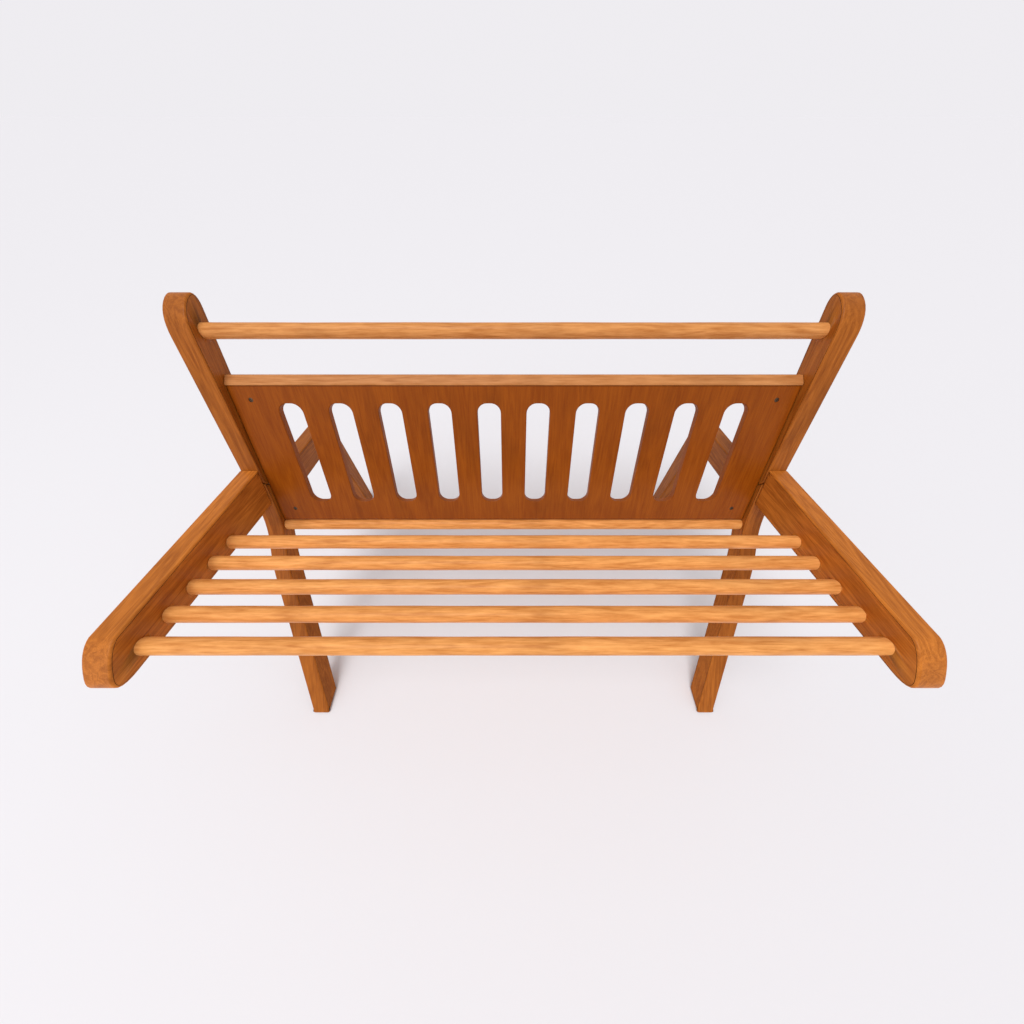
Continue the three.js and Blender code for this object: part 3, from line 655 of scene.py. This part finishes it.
def rubber_material(name, colour, rough, grit):
    """Moulded rubber or plastic: fine pebbling over a flat dark colour with a dusty bloom."""
    material, tree, shader = new_material(name)
    place = tree.add("ShaderNodeTexCoord").outputs["Object"]
    pebbles = tree.noise(place, grit, 4.0)
    bloom = tree.noise(place, 60.0, 3.0)
    dusty = tuple(channel * 1.8 + 0.01 for channel in colour)
    bloomed = tree.mix(tree.remap(bloom, 0.4, 0.7), (*colour, 1), (*dusty, 1))
    roughness = tree.remap(pebbles, 0.3, 0.7, rough - 0.1, rough + 0.1)
    cover(tree, shader, bloomed, roughness, pebbles, 0.3, 0.0003)
    return material


# The light and the dark of each wood
TIMBER_TONES = (0.64, 0.205, 0.029), (0.26, 0.062, 0.005)
# Posts and legs: the frame timber painted about a quarter darker, as painted shade on their front-facing
# sides.
STANDING_PAINTED_SHADE_TONES = (0.47, 0.142, 0.018), (0.19, 0.042, 0.003)
TOP_ROD_TONES = (0.76, 0.335, 0.105), (0.46, 0.155, 0.032)
LIPPING_TONES = (0.62, 0.270, 0.095), (0.38, 0.130, 0.030)
ROD_TONES = (0.93, 0.415, 0.125), (0.56, 0.190, 0.038)
PANEL_TONES = (0.350, 0.086, 0.0045), (0.190, 0.034, 0.001)


def finish(piece, body, slot, material, *nodes):
    """The piece takes its material, rides on its body and stands for the CAD nodes."""
    piece.data.materials.clear()
    piece.data.materials.append(material)
    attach(piece, body)
    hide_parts(*nodes)


# Outlines of the boards


def seat_rail_outline():
    """Straight top and underside, a nose of three quadratic bends, and a flat rear end."""
    top_end, brow, front_place, tip, chin, throat, low_end = (JOINT + place for place in NOSE)
    front = chain(
        bend(top_end, brow, front_place, END_STEPS // 2), bend(front_place, tip, chin, END_STEPS // 4),
        bend(chin, throat, low_end, END_STEPS // 4),
    )
    steps = 30
    top = line(on_back(RAIL_RISE / UP[1], -FIT_GAP), top_end, steps)
    low = line(on_back(-RAIL_REAR_DEPTH, -FIT_GAP), low_end, steps)
    top, low, rear = square_end(top, low, SAWN_EASE)
    return top, low, rear, front


def back_post_outline():
    """A half-circle foot on the hinge line, edges that part slightly, and a head of three bends."""
    neck, shoulder, brow, slope, peak, crown, corner, nape = (on_back(*place) for place in HEAD)
    neck_rear = on_back(HEAD[0][0], POST_DEPTH)
    front = chain(line(on_back(HINGE_ALONG, 0), neck, 4), line(neck, shoulder, 26))
    rear = chain(line(on_back(HINGE_ALONG, POST_DEPTH), neck_rear, 4), line(neck_rear, nape, 26))
    low_end = arc(HINGE, HINGE_DEPTH, BACK_ANGLE - 1.5 * math.pi, BACK_ANGLE - 0.5 * math.pi, END_STEPS)
    high_end = chain(
        bend(shoulder, brow, slope, END_STEPS // 2), bend(slope, peak, crown, END_STEPS // 4),
        bend(crown, corner, nape, END_STEPS // 4),
    )
    return front, rear, low_end, high_end


def front_leg_outline():
    """A straight head with a hollow top, a quadratic bend and a raked limb cut level at the foot."""
    toe = np.array([JOINT[0] - TOE_FORWARD, FLOOR_GAP])
    knee_start = on_back(-HEAD_LENGTH, 0)
    knee = crossing(JOINT, UP, toe, LIMB)
    reach = np.linalg.norm(knee - knee_start)
    rear_knee = crossing(on_back(0, POST_DEPTH), UP, toe + LIMB_INTO * POST_DEPTH, LIMB)
    heel = toe + [POST_DEPTH / math.sin(LIMB_ANGLE), 0]
    radius = HINGE_DEPTH + SLIDE_GAP
    hollow = arc(HINGE, radius, BACK_ANGLE + math.pi / 2 + CRADLE_LIP, 1.5 * math.pi - SEAT_ANGLE, 10)
    lip = on_back(HINGE_ALONG - radius * math.sin(CRADLE_LIP), 0)
    shoulder = hollow[-1] + SEAT_REAR * 0.008
    high = on_back(HEAD_REAR, POST_DEPTH)
    front = chain(
        line(lip, knee_start, 8), bend(knee_start, knee, knee + LIMB * reach, 16),
        line(knee + LIMB * reach, toe, 26),
    )
    rear_start, rear_stop = rear_knee + UP * 0.034, rear_knee + LIMB * 0.046
    rear = chain(
        line(high, rear_start, 8), bend(rear_start, rear_knee, rear_stop, 16), line(rear_stop, heel, 26),
    )
    head = chain(line(lip, hollow[0], 2), hollow, line(hollow[-1], shoulder, 2), line(shoulder, high, 2))
    front, rear, foot = square_far_end(front, rear, FOOT_EASE)
    return front, rear, head, foot


def rear_leg_outline():
    """An arm parallel to the seat, a bend, and a standing limb cut level at the foot."""
    arm_top = HINGE - SEAT_UP * (HINGE_DEPTH + ARM_TOP_DROP)
    start = crossing(arm_top, SEAT_REAR, on_back(0, POST_DEPTH + FIT_GAP), UP)
    end_y = JOINT[0] + ARM_LENGTH
    arm_end = crossing(arm_top, SEAT_REAR, (end_y, 0), (0, 1))
    outer = arm_end + [0.060, -0.066]
    inner_low = JOINT + [ARM_LENGTH + 0.006, -0.200]
    inner_high = JOINT + [ARM_LENGTH - 0.050, -0.139]
    corner = JOINT + [ARM_LENGTH + 0.001, -0.147]
    foot_y = JOINT[0] + REAR_FOOT
    top = chain(
        line(start, arm_end, 20), bend(arm_end, arm_end + [0.050, -0.006], outer, 16),
        line(outer, (foot_y, FLOOR_GAP), 22),
    )
    under = chain(
        line(on_back(ARM_UNDER, POST_DEPTH + FIT_GAP), inner_high, 20),
        bend(inner_high, corner, inner_low, 16),
        line(inner_low, (foot_y - REAR_FOOT_DEPTH, FLOOR_GAP), 22),
    )
    top, under, foot, head = square_ends(top, under, SAWN_EASE, FOOT_EASE)
    return top, under, head, foot


def toed_in(points, side):
    """x moved towards the middle by TOE_IN times an eased share of the height below the knee."""
    ease = 0.2
    start = JOINT[1] - TOE_IN_START
    share = np.clip((start - points[:, 2]) / (start - FLOOR_GAP), 0, None)
    travel = np.where(share < ease, share**2 / (2 * ease), share - ease / 2) / (1 - ease / 2)
    moved = points.copy()
    moved[:, 0] -= side * TOE_IN * travel
    return moved


def side_span(side, low, high):
    """The span in x of a stretch that is given from the middle outwards."""
    return (low, high) if side > 0 else (-high, -low)


def bolt_recess(side, along, radius):
    span = side_span(side, OUTER_HALF - RECESS_DEPTH, OUTER_HALF + OVERSHOOT)
    return bore(on_back(along, HINGE_DEPTH), *span, radius)


def socket_recess(side, centre):
    span = side_span(side, INNER_HALF - OVERSHOOT, INNER_HALF + SOCKET_DEPTH)
    return bore(centre, *span, TENON_RADIUS + FIT_GAP)


def node_centre(node):
    """The middle of a CAD node in the side view."""
    low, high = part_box(node)
    return np.array([(low[1] + high[1]) / 2, (low[2] + high[2]) / 2])


def make_board(name, side, outline, cutters, shift=None):
    """A board with its bores cut, its shift in x made first, and its grain along its middle line."""
    points, quads, middle = board(side, *outline)
    if shift:
        points = shift(points, side)
    piece = mesh_piece(name, points, quads.tolist())
    if cutters:
        cut(piece, cutters)
    smooth_with_grain(piece, grain_along(point_array(piece.data), middle), weighted=bool(shift))
    if not shift:
        level_sides(piece)
    return piece


def make_boards():
    """The four timbers of each side: outline, recesses, body, the wood's seed and its bands."""
    dowels = [node_centre(f"seat_dowel_{number}") for number in range(1, 6)]
    top_rod, stretcher = node_centre("back_top_rod"), node_centre("leg_stretcher_rod")
    for name, side in SIDES:
        rail = [socket_recess(side, centre) for centre in dowels]
        add_board(name, side, "seat_rail", "rail", seat_rail_outline, rail, "base", 0.3, TIMBER_TONES,
                  bands=0.32)
        post = [socket_recess(side, top_rod), bolt_recess(side, HINGE_ALONG, PIN_RECESS)]
        post += [bolt_recess(side, along, BOLT_RECESS) for along in POST_BOLTS]
        # Posts and legs take the timber darkened as painted shade.
        add_board(name, side, "back_post", "post", back_post_outline, post, "back", 4.1, STANDING_PAINTED_SHADE_TONES)
        leg = [socket_recess(side, stretcher)]
        leg += [bolt_recess(side, along, BOLT_RECESS) for along in LEG_BOLTS]
        add_board(name, side, "front_leg", "front_leg", front_leg_outline, leg, "base", 7.7,
                  STANDING_PAINTED_SHADE_TONES, toed_in)
        add_board(name, side, "rear_leg", "rear_leg", rear_leg_outline, [], "base", 11.9, STANDING_PAINTED_SHADE_TONES)


def add_board(name, side, part, wood, outline, cutters, body, seed, tones, shift=None, bands=0.30):
    """One timber, made from its outline and finished in its own wood."""
    piece = make_board(f"{name}_{part}_board", side, outline(), cutters, shift)
    material = wood_material(f"{name}_{wood}_wood", 3.0 + side + seed, tones, bands, 0.30)
    finish(piece, body, "frame_wood", material, f"{name}_{part}")


def rod_outline(length):
    """A rod's radius along its length: a tenon at each end, an eased shoulder, a slow turning wave."""
    ease = 0.0014
    shoulder = length / 2 - (INNER_HALF - FIT_GAP)
    places = np.linspace(shoulder + ease, length - shoulder - ease, 60)
    wave = 0.00012 * np.sin(places * 21.0) + 0.00008 * np.sin(places * 47.0 + 1.0)
    body = np.column_stack([places, ROD_RADIUS + wave - 0.0002])
    near = [(0, 0), (0, TENON_RADIUS), (shoulder, TENON_RADIUS), (shoulder, ROD_RADIUS - ease)]
    far = [(length - distance, radius) for distance, radius in near[::-1]]
    return np.vstack([near, body, far])


def make_rods():
    rods = [(f"seat_dowel_{number}", "base") for number in range(1, 6)]
    rods += [("leg_stretcher_rod", "base"), ("back_top_rod", "back")]
    for index, (node, body) in enumerate(rods):
        low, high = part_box(node)
        centre = node_centre(node)
        outline = rod_outline(high[0] - low[0])
        turned = round_bar(f"{node}_turned", (low[0], *centre), (high[0], *centre), outline)
        place = point_array(turned.data)
        smooth_with_grain(turned, np.column_stack([place[:, 0], place[:, 1:] - centre]))
        tones = TOP_ROD_TONES if body == "back" else ROD_TONES
        material = wood_material(f"{node}_wood", 21.0 + 1.9 * index, tones, 0.30, 0.75, 0.36)
        finish(turned, body, "dowel_wood", material, node)


# Panel


def slot_ring(top_steps, side_steps):
    """A slot's outline in (x, along), matched point for point to a cell's straight-sided border.

    Each quarter of the outline is half a corner arc, a straight and half a corner arc; points are
    placed by running length inside the top and side runs.
    """
    half = SLOT_WIDTH / 2 - SLOT_CORNER
    low, high = SLOT_LOW + SLOT_CORNER, SLOT_HIGH - SLOT_CORNER
    eighth = math.pi / 4
    arc_steps = 5

    def run(centre_1, angle_1, centre_2, angle_2, steps):
        first = arc(centre_1, SLOT_CORNER, angle_1, angle_1 + eighth, arc_steps)
        second = arc(centre_2, SLOT_CORNER, angle_2 - eighth, angle_2, arc_steps)
        return chain(first, line(first[-1], second[0], steps - 2 * arc_steps), second)

    bottom = run((-half, low), 5 * eighth, (half, low), 7 * eighth, top_steps)
    right = run((half, low), 7 * eighth, (half, high), 9 * eighth, side_steps)
    top = run((half, high), eighth, (-half, high), 3 * eighth, top_steps)
    left = run((-half, high), 3 * eighth, (-half, low), 5 * eighth, side_steps)
    return np.concatenate([run_[:-1] for run_ in (bottom, right, top, left)])


def cell_border(top_steps, side_steps):
    """The rectangle round one slot, in (x, along), with as many points a side as the slot's runs."""
    half = SLOT_PITCH / 2
    corners = [(-half, PANEL_LOW), (half, PANEL_LOW), (half, PANEL_HIGH), (-half, PANEL_HIGH)]
    counts = [top_steps, side_steps, top_steps, side_steps]
    runs = [line(corners[k], corners[(k + 1) % 4], counts[k])[:-1] for k in range(4)]
    return np.concatenate(runs)


def make_panel():
    """Slotted panel: front and back faces of ringed cells and plain ends, joined by eased edges.

    A cell's ring r is slot + (border - slot) * r, with the first rings stepping down a quarter
    round into the slot's wall. The outer border is eased in the same way. Equal points are merged.
    """
    top_steps, side_steps, rings = 12, 22, 4
    slot, border = slot_ring(top_steps, side_steps), cell_border(top_steps, side_steps)
    outward_way = -(inset(slot, 1.0) - slot)
    # Rings from the middle of the slot's wall out to the cell's border: (offset from the slot, depth)
    offsets = np.concatenate([[0.0], PANEL_EASE * (1 - np.cos(EDGE_QUARTER))])
    depths = np.concatenate([[PANEL_THICK / 2], PANEL_EASE * (1 - np.sin(EDGE_QUARTER))])
    wall = slot[None] + outward_way[None] * offsets[:, None, None]
    share = (np.arange(1, rings + 1) / rings)[:, None, None]
    face = wall[-1][None] * (1 - share) + border[None] * share
    cell = np.concatenate([wall, face])
    cell_depth = np.concatenate([depths, np.zeros(rings)])
    count = len(slot)
    points, quads = [], []
    start = 0
    for index in range(SLOT_COUNT):
        middle = (index - (SLOT_COUNT - 1) / 2) * SLOT_PITCH
        block = np.empty((*cell.shape[:2], 3))
        block[..., 0] = cell[..., 0] + middle
        block[..., 1] = cell[..., 1]
        block[..., 2] = cell_depth[:, None]
        points.append(block.reshape(-1, 3))
        quads.append(grid_quads(len(cell), count, start, closed=True))
        start += len(cell) * count

    end = INNER_HALF - SLIDE_GAP
    cells_half = SLOT_COUNT * SLOT_PITCH / 2
    rows = line((0, PANEL_LOW), (0, PANEL_HIGH), side_steps)[:, 1]
    for side in (-1, 1):
        columns = np.linspace(cells_half, end, 8) * side
        x, along = np.meshgrid(columns, rows, indexing="ij")
        points.append(np.stack([x, along, np.zeros_like(x)], -1).reshape(-1, 3))
        faces = grid_quads(len(columns), len(rows), start)
        quads.append(faces if side > 0 else faces[:, ::-1])
        start += x.size

    front = np.concatenate(points)
    front_quads = np.concatenate(quads)
    low = np.array([-end, PANEL_LOW])
    high = np.array([end, PANEL_HIGH])
    on_rim = np.any(np.isclose(front[:, :2], low) | np.isclose(front[:, :2], high), 1)
    on_rim &= front[:, 2] == 0
    eased = front.copy()
    eased[on_rim, :2] = np.clip(front[on_rim, :2], low + PANEL_EASE, high - PANEL_EASE)
    back = eased * [1, 1, -1] + [0, 0, PANEL_THICK]
    rim, rim_quads = panel_rim(low, high, top_steps, side_steps, columns_end=7)
    offset = len(front)
    everything = np.concatenate([eased, back, rim])
    faces = np.concatenate([front_quads, front_quads[:, ::-1] + offset, rim_quads + 2 * offset])
    keys = np.round(everything / 2e-5).astype(np.int64)
    _, first, inverse = np.unique(keys, axis=0, return_index=True, return_inverse=True)
    merged, faces = everything[first], inverse.reshape(-1)[faces]
    placed = np.column_stack([merged[:, 0], on_back(merged[:, 1], PANEL_FRONT + merged[:, 2])])
    panel = mesh_piece("slotted_back_board", placed, outward(placed, faces).tolist())
    cut(panel, [screw_recess(side, along) for side in (-1, 1) for along in PANEL_SCREWS])
    place = point_array(panel.data)
    up_panel, into_panel = (place[:, 1:] - JOINT) @ UP, (place[:, 1:] - JOINT) @ INTO
    smooth_with_grain(panel, np.column_stack([up_panel, place[:, 0], into_panel]))
    material = wood_material("panel_wood", 41.3, PANEL_TONES, 0.22, 0.22, 0.42)
    finish(panel, "back", "panel_wood", material, "slotted_back_panel")


def panel_rim(low, high, top_steps, side_steps, columns_end):
    """The outer edge: the faces' border carried over a quarter round, down the edge, and back."""
    cells_half = SLOT_COUNT * SLOT_PITCH / 2
    xs = np.concatenate([
        np.linspace(-high[0], -cells_half, columns_end + 1)[:-1],
        np.linspace(-cells_half, cells_half, SLOT_COUNT * top_steps + 1),
        np.linspace(cells_half, high[0], columns_end + 1)[1:],
    ])
    alongs = np.linspace(low[1], high[1], side_steps + 1)
    loop = np.concatenate([
        np.column_stack([xs[:-1], np.full(len(xs) - 1, low[1])]),
        np.column_stack([np.full(side_steps, high[0]), alongs[:-1]]),
        np.column_stack([xs[:0:-1], np.full(len(xs) - 1, high[1])]),
        np.column_stack([np.full(side_steps, low[0]), alongs[:0:-1]]),
    ])
    insets, depths = edge_profile(0, PANEL_THICK, PANEL_EASE)
    points = np.empty((len(insets), len(loop), 3))
    for row, (distance, depth) in enumerate(zip(insets, depths)):
        points[row, :, :2] = np.clip(loop, low + distance, high - distance)
        points[row, :, 2] = depth
    return points.reshape(-1, 3), grid_quads(len(insets), len(loop), closed=True)[:, ::-1]


def screw_recess(side, along):
    front = on_back(along, PANEL_FRONT - 0.001)
    back = on_back(along, PANEL_FRONT + 0.002)
    x = side * PANEL_SCREW_X
    length = 0.003
    outline = [(0, 0), (0, 0.0046), (length, 0.0040), (length, 0)]
    return round_bar("cutter", (x, *front), (x, *back), outline, around=32)


# Fittings


def cross_head(name, start, end, radius, dome, cross):
    """A round head: dome height falls with the square of the radius, and a cross is pressed into it.

    The cross lowers the dome where either arm coordinate is within the arm's half width.
    """
    start, end = np.asarray(start, float), np.asarray(end, float)
    way, side, up = turning_frame(start, end)
    around, rows = 48, 22
    angle = np.arange(around) * 2 * math.pi / around
    ratio = np.linspace(0, 1, rows + 1)[1:]
    across = ratio[:, None] * np.cos(angle) * radius
    upward = ratio[:, None] * np.sin(angle) * radius
    arm = radius * 0.16
    reach = radius * 0.62
    on_cross = (abs(across) < arm) & (abs(upward) < reach)
    on_cross |= (abs(upward) < arm) & (abs(across) < reach)
    height = dome * (1 - ratio[:, None] ** 2) - np.where(on_cross, cross, 0.0)
    surface = start - way * height[..., None] + across[..., None] * side + upward[..., None] * up
    wall = end + (np.cos(angle)[:, None] * side + np.sin(angle)[:, None] * up) * radius
    return ringed_mesh(name, np.concatenate([surface, wall[None]]), start - way * (dome - cross), end)


PLATED = metal_material("plated_steel", (0.62, 0.61, 0.58), 0.32, (900.0, 60.0, 60.0))
YELLOW_ZINC = metal_material("zinc_steel", (0.58, 0.53, 0.42), 0.36, (60.0, 60.0, 900.0))
DARK_SCREW = metal_material("browned_steel", (0.16, 0.10, 0.065), 0.42, (200.0, 200.0, 200.0))
PAD = rubber_material("pad_rubber", (0.025, 0.022, 0.020), 0.75, 900.0)
GLIDE = rubber_material("glide_plastic", (0.045, 0.035, 0.030), 0.50, 500.0)


def make_panel_screws():
    for name, side in SIDES:
        for number, along in enumerate(PANEL_SCREWS, 1):
            node, x = f"{name}_panel_screw_{number}", side * PANEL_SCREW_X
            front, back = on_back(along, PANEL_FRONT + 0.0006), on_back(along, PANEL_FRONT + 0.0024)
            head = cross_head(f"{node}_head", (x, *front), (x, *back), 0.0040, 0.0005, 0.0007)
            finish(head, "back", "panel_screws", DARK_SCREW, node)


def make_rest_pads():
    """Rounded block lying along the arm: the outline is a rectangle with rounded corners, eased over."""
    for name, side in SIDES:
        node = f"{name}_rest_pad"
        top = HINGE - SEAT_UP * (HINGE_DEPTH + 0.0006)
        low = HINGE - SEAT_UP * (HINGE_DEPTH + ARM_TOP_DROP - FIT_GAP)
        near, far = SEAT_REAR * PAD_NEAR, SEAT_REAR * (PAD_NEAR + PAD_LENGTH)
        first, second = line(top + near, top + far, 12), line(low + near, low + far, 12)
        first, second, tail, head = square_ends(first, second, SAWN_EASE, SAWN_EASE)
        points, quads, middle_line = board(side, first, second, head, tail, PAD_EDGE)
        middle = side * (INNER_HALF + OUTER_HALF) / 2
        points[:, 0] = middle + (points[:, 0] - middle) * 0.75
        pad = mesh_piece(f"{node}_moulded", points, quads.tolist())
        smooth_with_grain(pad, grain_along(points, middle_line))
        finish(pad, "base", "pad_rubber", PAD, node)


def make_lipping():
    """Strip along the panel's top: a five-sided section with its corners eased, as long as the panel."""
    low, high = PANEL_HIGH + FIT_GAP, PANEL_HIGH + LIPPING_HEIGHT
    foot, crest = on_back(low, LIPPING_FRONT), on_back(high, LIPPING_REAR - LIPPING_CREST)
    lip, ease = on_back(PANEL_HIGH + LIPPING_LIP, LIPPING_FRONT), 0.0008
    slope = (crest - lip) / np.linalg.norm(crest - lip)
    front = chain(line(foot, lip - UP * ease, 1), bend(lip - UP * ease, lip, lip + slope * ease, 3),
                  line(lip + slope * ease, crest, 4))
    rear = line(on_back(low, LIPPING_REAR), on_back(high, LIPPING_REAR), 8)
    front, rear, tail, head = square_ends(front, rear, ease, ease)
    points, quads, _ = board(1, front, rear, head, tail, LIPPING_EDGE)
    share = (points[:, 0] - INNER_HALF) / TIMBER
    points[:, 0] = (2 * share - 1) * (INNER_HALF - SLIDE_GAP)
    strip = mesh_piece("panel_top_lipping_strip", points, outward(points, quads).tolist())
    smooth_with_grain(strip, np.column_stack([points[:, 0], points[:, 1:] - foot]))
    material = wood_material("lipping_wood", 61.4, LIPPING_TONES, 0.30, 0.55, 0.40)
    finish(strip, "back", "dowel_wood", material, "panel_top_lipping")


def make_battens():
    """Straight square-ended strip behind the panel's end, made as a board and narrowed across x."""
    for name, side in SIDES:
        node = f"{name}_panel_batten"
        low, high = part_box(node)
        front, back = PANEL_FRONT + PANEL_THICK + FIT_GAP, POST_DEPTH
        first = line(on_back(BATTEN_LOW, front), on_back(BATTEN_HIGH, front), 24)
        second = line(on_back(BATTEN_LOW, back), on_back(BATTEN_HIGH, back), 24)
        first, second, tail, head = square_ends(first, second, BATTEN_EASE, BATTEN_EASE)
        points, quads, middle = board(side, first, second, head, tail, BATTEN_EDGE)
        share = (side * points[:, 0] - INNER_HALF) / TIMBER
        inner, outer = sorted((abs(low[0]), abs(high[0])))
        points[:, 0] = side * (inner + share * (outer - inner))
        strip = mesh_piece(f"{node}_strip", points, quads.tolist())
        smooth_with_grain(strip, grain_along(points, middle))
        material = wood_material(f"{node}_wood", 51.0 + side, TIMBER_TONES, 0.30, 0.30)
        finish(strip, "back", "frame_wood", material, node)


def dress_cad_fittings():
    """The plates, pins, bolts, studs, nuts, washers and glides keep their CAD shape."""
    kinds = {"hinge_leg_plate": PLATED, "hinge_post_plate": PLATED, "hinge_pin": PLATED, "glide": GLIDE}
    for node, piece in frame["nodes"].items():
        if piece.hide_render:
            continue
        material = next((made for kind, made in kinds.items() if node.endswith(kind)), YELLOW_ZINC)
        piece.data.materials.clear()
        piece.data.materials.append(material)


make_boards()
make_rods()
make_panel()
make_lipping()
make_panel_screws()
make_rest_pads()
make_battens()
dress_cad_fittings()


# Floor, light and camera


FLOOR_TONE = (0.80, 0.79, 0.82)
SURROUND = (0.861, 0.844, 0.876)
SUN_POWER, SUN_ANGLE, SUN_TILT, SUN_ROLL = 1.65, 35, 22, -14
AIR_TONE, AIR_STRENGTH = (1.0, 0.985, 0.99, 1), 0.62
FOCAL_LENGTH, SENSOR_WIDTH, LOOK_DOWN = 11.25, 36, 52
CAMERA_X, CAMERA_AHEAD, CAMERA_ABOVE = -0.0035, 0.5018, 0.5015


def make_floor():
    """A level sheet, finer near the frame: x and y are the cube of equal steps, times the reach."""
    reach, steps = 60.0, 25
    along = np.linspace(-1, 1, steps) ** 3 * reach
    x, y = np.meshgrid(along, along)
    points = np.stack([x, y, np.zeros_like(x)], -1).reshape(-1, 3)
    floor = mesh_piece("studio_floor", points, grid_quads(steps, steps).tolist())
    material, tree, shader = new_material("floor_paint")
    shader.inputs["Base Color"].default_value = (*FLOOR_TONE, 1)
    shader.inputs["Roughness"].default_value = 0.9
    shader.inputs["Specular IOR Level"].default_value = 0.1
    floor.data.materials.append(material)


def area_light(name, place, aim, size, power, colour):
    """A rectangle of light at a place, facing its aim."""
    light = bpy.data.lights.new(name, "AREA")
    light.shape = "RECTANGLE"
    light.size, light.size_y = size
    light.energy = power
    light.color = colour
    lamp = in_scene(name, light)
    lamp.location = place
    way = np.subtract(aim, place)
    flat = math.hypot(way[0], way[1])
    lamp.rotation_euler = (math.atan2(flat, -way[2]), 0, math.atan2(way[1], way[0]) - math.pi / 2)


def make_lights():
    """A soft sun from above the front left, one weak front light and an even pale surround."""
    sky = bpy.data.lights.new("overhead", "SUN")
    sky.energy = SUN_POWER
    sky.angle = math.radians(SUN_ANGLE)
    in_scene("overhead", sky).rotation_euler = (math.radians(SUN_TILT), math.radians(SUN_ROLL), 0)
    area_light("front_left", (-2.2, -2.4, 2.0), (0, 0, 0.4), (1.6, 1.6), 10, (1.0, 0.97, 0.94))
    world = bpy.data.worlds.new("studio_air")
    world.use_nodes = True
    tree = Tree(world.node_tree)
    lighting = world.node_tree.nodes["Background"]
    lighting.inputs["Color"].default_value = AIR_TONE
    lighting.inputs["Strength"].default_value = AIR_STRENGTH
    seen = tree.add("ShaderNodeBackground", Color=(*SURROUND, 1), Strength=1.0)
    choice = tree.nodes.new("ShaderNodeMixShader")
    tree.links.new(tree.add("ShaderNodeLightPath").outputs["Is Camera Ray"], choice.inputs[0])
    tree.links.new(lighting.outputs[0], choice.inputs[1])
    tree.links.new(seen.outputs[0], choice.inputs[2])
    tree.links.new(choice.outputs[0], world.node_tree.nodes["World Output"].inputs[0])
    bpy.context.scene.world = world


def make_camera():
    """Wide lens close above the front, looking down LOOK_DOWN degrees below level."""
    lens = bpy.data.cameras.new("camera")
    lens.sensor_width = SENSOR_WIDTH
    lens.lens = FOCAL_LENGTH
    lens.clip_start = 0.01
    camera = in_scene("camera", lens)
    camera.location = (CAMERA_X, JOINT[0] - CAMERA_AHEAD, JOINT[1] + CAMERA_ABOVE)
    camera.rotation_euler = (math.radians(90 - LOOK_DOWN), 0, 0)
    bpy.context.scene.camera = camera


make_floor()
make_lights()
make_camera()
bpy.context.scene.view_settings.view_transform = "Standard"
